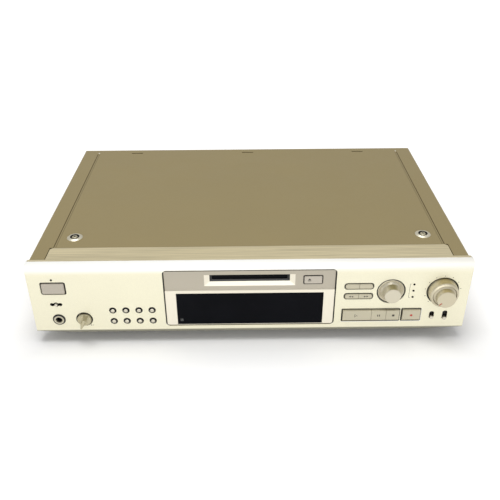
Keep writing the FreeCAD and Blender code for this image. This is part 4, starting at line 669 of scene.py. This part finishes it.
def key_marks(ink, red):
    """Transport symbols on the keys."""
    spots = {}
    for node in ("play_button", "pause_button", "stop_button", "record_button"):
        x, z, y = front_of(node)
        spots[node] = (x, z + SYMBOL_RISE, y)
    x, z, y = spots["play_button"]
    side = 1.7
    w = 0.32
    triangle = [
        [(x - side, z - side), (x - side + w, z - side), (x - side + w, z + side), (x - side, z + side)],
        [(x - side, z + side), (x - side, z + side - w * 1.5), (x + side - w, z), (x + side, z)],
        [(x - side, z - side), (x + side, z), (x + side - w, z), (x - side, z - side + w * 1.5)],
    ]
    symbol("play_button", triangle, y, ink)
    x, z, y = spots["pause_button"]
    bars = [bar(x - 1.3, x - 0.4, z - 1.2, z + 1.2), bar(x + 0.4, x + 1.3, z - 1.2, z + 1.2)]
    symbol("pause_button", bars, y, ink)
    x, z, y = spots["stop_button"]
    symbol("stop_button", [bar(x - 1.2, x + 1.2, z - 1.2, z + 1.2)], y, ink)
    x, z, y = spots["record_button"]
    symbol("record_button", [disc(x, z, 1.25)], y, red)
    for node, way in (("rewind_button", -1), ("forward_button", 1)):
        x, z, y = front_of(node)
        symbol(node, [arrow(x - 1.2, z, 1.0, way), arrow(x + 1.2, z, 1.0, way)], y, ink)
    x, z, y = front_of("eject_button")
    x -= EJECT_SYMBOL_X
    half = 1.7
    roof = [(x - half, z - 0.3), (x + half, z - 0.3), (x, z + 1.6)]
    symbol("eject_button", [roof, bar(x - half, x + half, z - 1.5, z - 0.9)], y, ink)


def dial_marks(ink, red):
    """Tick dots and pointer of the record level, tick of the headphones level, lamp bracket."""
    x, z, _ = front_of("record_level_ring")
    dots = []
    for i in range(TICKS):
        turn = math.radians(TICK_START - TICK_STEP * i)
        dots.append(disc(x + TICK_REACH * math.cos(turn), z + TICK_REACH * math.sin(turn), TICK_R, 10))
    plate("record_level_ticks", dots, 0.0, "deck", ink)
    tick_x, tick_z = PHONES_TICK
    tick = [disc(tick_x, tick_z, 0.6, 10), bar(tick_x + 1.0, tick_x + 2.4, tick_z - 0.2, tick_z + 0.2)]
    plate("phones_level_tick", tick, 0.0, "deck", ink)
    turn = math.radians(POINTER_ANGLE)
    along = Vector((math.cos(turn), math.sin(turn)))
    across = Vector((-along.y, along.x)) * POINTER_HALF
    near, far = (Vector((x, z)) + along * reach for reach in POINTER_REACH)
    pointer = [tuple(spot) for spot in (near - across, far - across, far + across, near + across)]
    y = front_of("record_level_knob")[2]
    plate("record_level_pointer", [pointer], y, "record_level_knob", red)
    left, right = BRACKET_X
    half = FINE_LINE / 2
    lines = [bar(left, left + FINE_LINE, *BRACKET_Z)]
    lines += [bar(left, right, end - half, end + half) for end in reversed(BRACKET_Z)]
    plate("input_lamp_bracket", lines, 0.0, "deck", ink)


def edge_marks(dark, bright):
    """Painted shade lines round the openings, and painted highlights on the bevels below and beside the keys.
    """
    power = opening("power_button", "power_button", POWER_FLANGE)
    keys = opening("play_button", "stop_button", KEY_FLANGE)
    record_key = opening("record_button", "record_button", KEY_FLANGE)
    # Painted shade: dark lines round each opening, where its gap lies in shade.
    lines = oblong_edge(*power, POWER_CORNER, NARROW_LINE)
    for first, last in (("menu_button", "yes_button"), ("rewind_button", "forward_button")):
        lines += oblong_edge(*opening(first, last, KEY_FLANGE), PAIR_CORNER, NARROW_LINE)
    lines += oblong_edge(*keys, KEY_CORNER, WIDE_LINE)
    lines += oblong_edge(*record_key, KEY_CORNER, WIDE_LINE)
    for button in ROUND_BUTTONS:
        lines += round_edge(front_of(button + "_button")[:2], ROUND_R, RING_LINE, 20)
    lines += round_edge(JOG, JOG_R, WIDE_LINE)
    lines += round_edge(front_of("record_level_ring")[:2], RECORD_R, WIDE_LINE)
    lines += round_edge(front_of("phones_knob")[:2], PHONES_LEVEL_R, WIDE_LINE, 28)
    lines += round_edge(front_of("phones_bush")[:2], PHONES_R, RING_LINE, 28)
    plate("opening_edge_shade", lines, 0.0, "deck", dark)
    eject = opening("eject_button", "eject_button", EJECT_FLANGE)
    rim = oblong_edge(*eject, EJECT_CORNER, NARROW_LINE)
    plate("eject_edge_shade", rim, BEZEL_FACE, "deck", dark)
    # Painted highlights: bright lines on the bevels below and beside the keys.
    top = keys[2] - WIDE_LINE
    bevel_highlights = [bar(*ends, top - BEVEL, top) for ends in BEVELS_X]
    end = BEVELS_X[-1][1]
    bevel_highlights.append(bar(end, end + BEVEL, top - BEVEL, keys[3]))
    plate("key_bevel_highlights", bevel_highlights, 0.0, "deck", bright)


def top_marks(dark, bright):
    """Painted shade in the recesses of the two top screws, and painted highlights at the rear ends of the
    pressed lines.
    """
    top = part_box("cover_screws")[1][2] / MM
    x, y = ROSETTE
    # Painted shade: dark crosses in the top screws' recesses.
    plate("screw_cross_shade", cross(-x, y) + cross(x, y), top, "deck", dark, level)
    # Painted highlights: bright dots at the rear ends of the pressed lines.
    end, r = GROOVE_END
    end_highlights = [disc(side * GROOVE_X, end, r, 10) for side in (-1, 1)]
    plate("line_end_highlights", end_highlights, COVER_TOP / MM, "deck", bright, level)


def rear_marks(dark, red, bright):
    """Coloured rings of the line sockets, and painted shade in the recesses of the side screws."""
    back = (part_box("rca_jacks")[1][1] - FACE_Y) / MM
    for name, z, ink in (("upper", UPPER_SOCKETS_Z, bright), ("lower", LOWER_SOCKETS_Z, red)):
        rings = []
        for x in SOCKETS_X:
            rings += round_edge((x, z), SOCKET_R, SOCKET_LINE, 24)
        plate(name + "_socket_rings", rings, back, "deck", ink, backward)
    # Painted shade: dark crosses in the side screws' recesses.
    crosses = []
    for y in SIDE_SCREWS_Y:
        crosses += cross(y, SIDE_SCREWS_Z)
    heads = [end[0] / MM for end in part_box("cover_screws")]
    for name, x in zip(("left", "right"), heads):
        plate(name + "_screw_cross_shade", crosses, x, "deck", dark, sideways)


def window_mark(ink):
    """Remote sensor mark in the window's corner."""
    y = front_of("display_window")[2]
    lines = frame_lines(*SENSOR_FRAME, FINE_LINE) + [bar(*SENSOR_EYE)]
    plate("sensor_mark", lines, y, "deck", ink)


def dark_ink(name, color):
    """Matt ink of a printed mark, a painted shade line or a painted highlight."""
    return plain_finish(name, color, 0.6, relief=0.000005, spread=0.1)


def build_marks():
    """Every mark of the deck in its ink, with the painted shade lines and painted highlights."""
    ink = dark_ink("dark_ink", srgb(58, 54, 48))
    red = dark_ink("red_ink", srgb(190, 60, 50))
    # Painted shade lines and painted highlights get inks of their own; the white socket rings share the
    # highlight ink.
    shade_ink = dark_ink("painted_shade_ink", srgb(30, 27, 22))
    white_and_highlight = dark_ink("white_and_highlight_ink", srgb(255, 252, 238))
    key_marks(ink, red)
    dial_marks(ink, red)
    edge_marks(shade_ink, white_and_highlight)
    top_marks(shade_ink, white_and_highlight)
    rear_marks(shade_ink, red, white_and_highlight)
    window_mark(dark_ink("grey_ink", srgb(120, 120, 118)))


# Stage, light and camera

def build_floor():
    """White paper that the deck stands on, with a soft shadow round the case and a painted glow that fades
    out towards it.
    """
    bpy.ops.mesh.primitive_plane_add(size=30.0, location=(0, 0, -0.0002))
    floor = bpy.context.object
    floor.name = "floor"
    m = Shader("floor_paper", (0.9, 0.9, 0.9, 1.0), 0.9, specular=0.0)
    seen = m.seen()
    m.feed("Base Color", m.blend(seen, (0.78, 0.78, 0.77, 1.0), (0.985, 0.985, 0.985, 1.0)))
    m.main.inputs["Emission Color"].default_value = (1.0, 1.0, 1.0, 1.0)
    # Painted light: a glow that grows with distance from the case, so the floor stays darker near it.
    across = m.math("SUBTRACT", m.aside(), CASE_HALF[0])
    along = m.math("SUBTRACT", m.math("ABSOLUTE", m.axis("Y")), CASE_HALF[1])
    away = m.math("MAXIMUM", across, along)
    lift = m.math("ADD", m.ramp(away, 0, FLOOR_LIFT, *FLOOR_NEAR), m.ramp(away, 0, FLOOR_LIFT, *FLOOR_FAR))
    m.feed("Emission Strength", m.both(seen, lift))
    floor.data.materials.append(m.material)


def build_world():
    """White surroundings: full white to the camera, weaker as a light."""
    world = bpy.data.worlds.new("studio")
    bpy.context.scene.world = world
    world.use_nodes = True
    tree = world.node_tree
    path = tree.nodes.new("ShaderNodeLightPath")
    strength = tree.nodes.new("ShaderNodeMapRange")
    strength.inputs["To Min"].default_value = WORLD_LEVEL
    strength.inputs["To Max"].default_value = 1.0
    tree.links.new(path.outputs["Is Camera Ray"], strength.inputs["Value"])
    tree.links.new(strength.outputs["Result"], tree.nodes["Background"].inputs["Strength"])
    tree.nodes["Background"].inputs["Color"].default_value = (1.0, 1.0, 1.0, 1.0)


def area_light(name, place, target, size, power):
    """Oblong lamp that faces a target."""
    data = bpy.data.lights.new(name, "AREA")
    data.shape = "RECTANGLE"
    data.size, data.size_y = size
    data.energy = power
    light = bpy.data.objects.new(name, data)
    bpy.context.collection.objects.link(light)
    light.location = place
    light.rotation_euler = (Vector(target) - Vector(place)).to_track_quat("-Z", "Y").to_euler()


def build_lights():
    """A lamp above the deck and a weaker, wider one in front of it."""
    area_light("key", (-0.15, -0.3, 2.1), (0, 0, 0), (1.4, 0.8), KEY_POWER)
    area_light("front", (0.1, -2.2, 0.4), (0, 0, 0.05), (2.2, 0.6), FRONT_POWER)


def build_camera():
    """Camera at the photograph's place, turned by its azimuth, elevation and roll."""
    azimuth = math.radians(CAMERA_AZIMUTH)
    elevation = math.radians(CAMERA_ELEVATION)
    roll = math.radians(CAMERA_ROLL)
    back = Vector((
        math.sin(azimuth) * math.cos(elevation), -math.cos(azimuth) * math.cos(elevation), math.sin(elevation)
    ))
    right = Vector((math.cos(azimuth), math.sin(azimuth), 0))
    up = back.cross(right)
    turned_right = right * math.cos(roll) + up * math.sin(roll)
    turned_up = up * math.cos(roll) - right * math.sin(roll)
    data = bpy.data.cameras.new("camera")
    data.sensor_width = SENSOR
    data.lens = LENS
    data.clip_end = 100.0
    camera = bpy.data.objects.new("camera", data)
    bpy.context.collection.objects.link(camera)
    rotation = Matrix((turned_right, turned_up, back)).transposed()
    camera.matrix_world = Matrix.Translation(at(*CAMERA_PLACE)) @ rotation.to_4x4()
    bpy.context.scene.camera = camera


bpy.context.scene.view_settings.view_transform = "Standard"
dress_nodes(build_materials())
build_marks()
build_floor()
build_world()
build_lights()
build_camera()
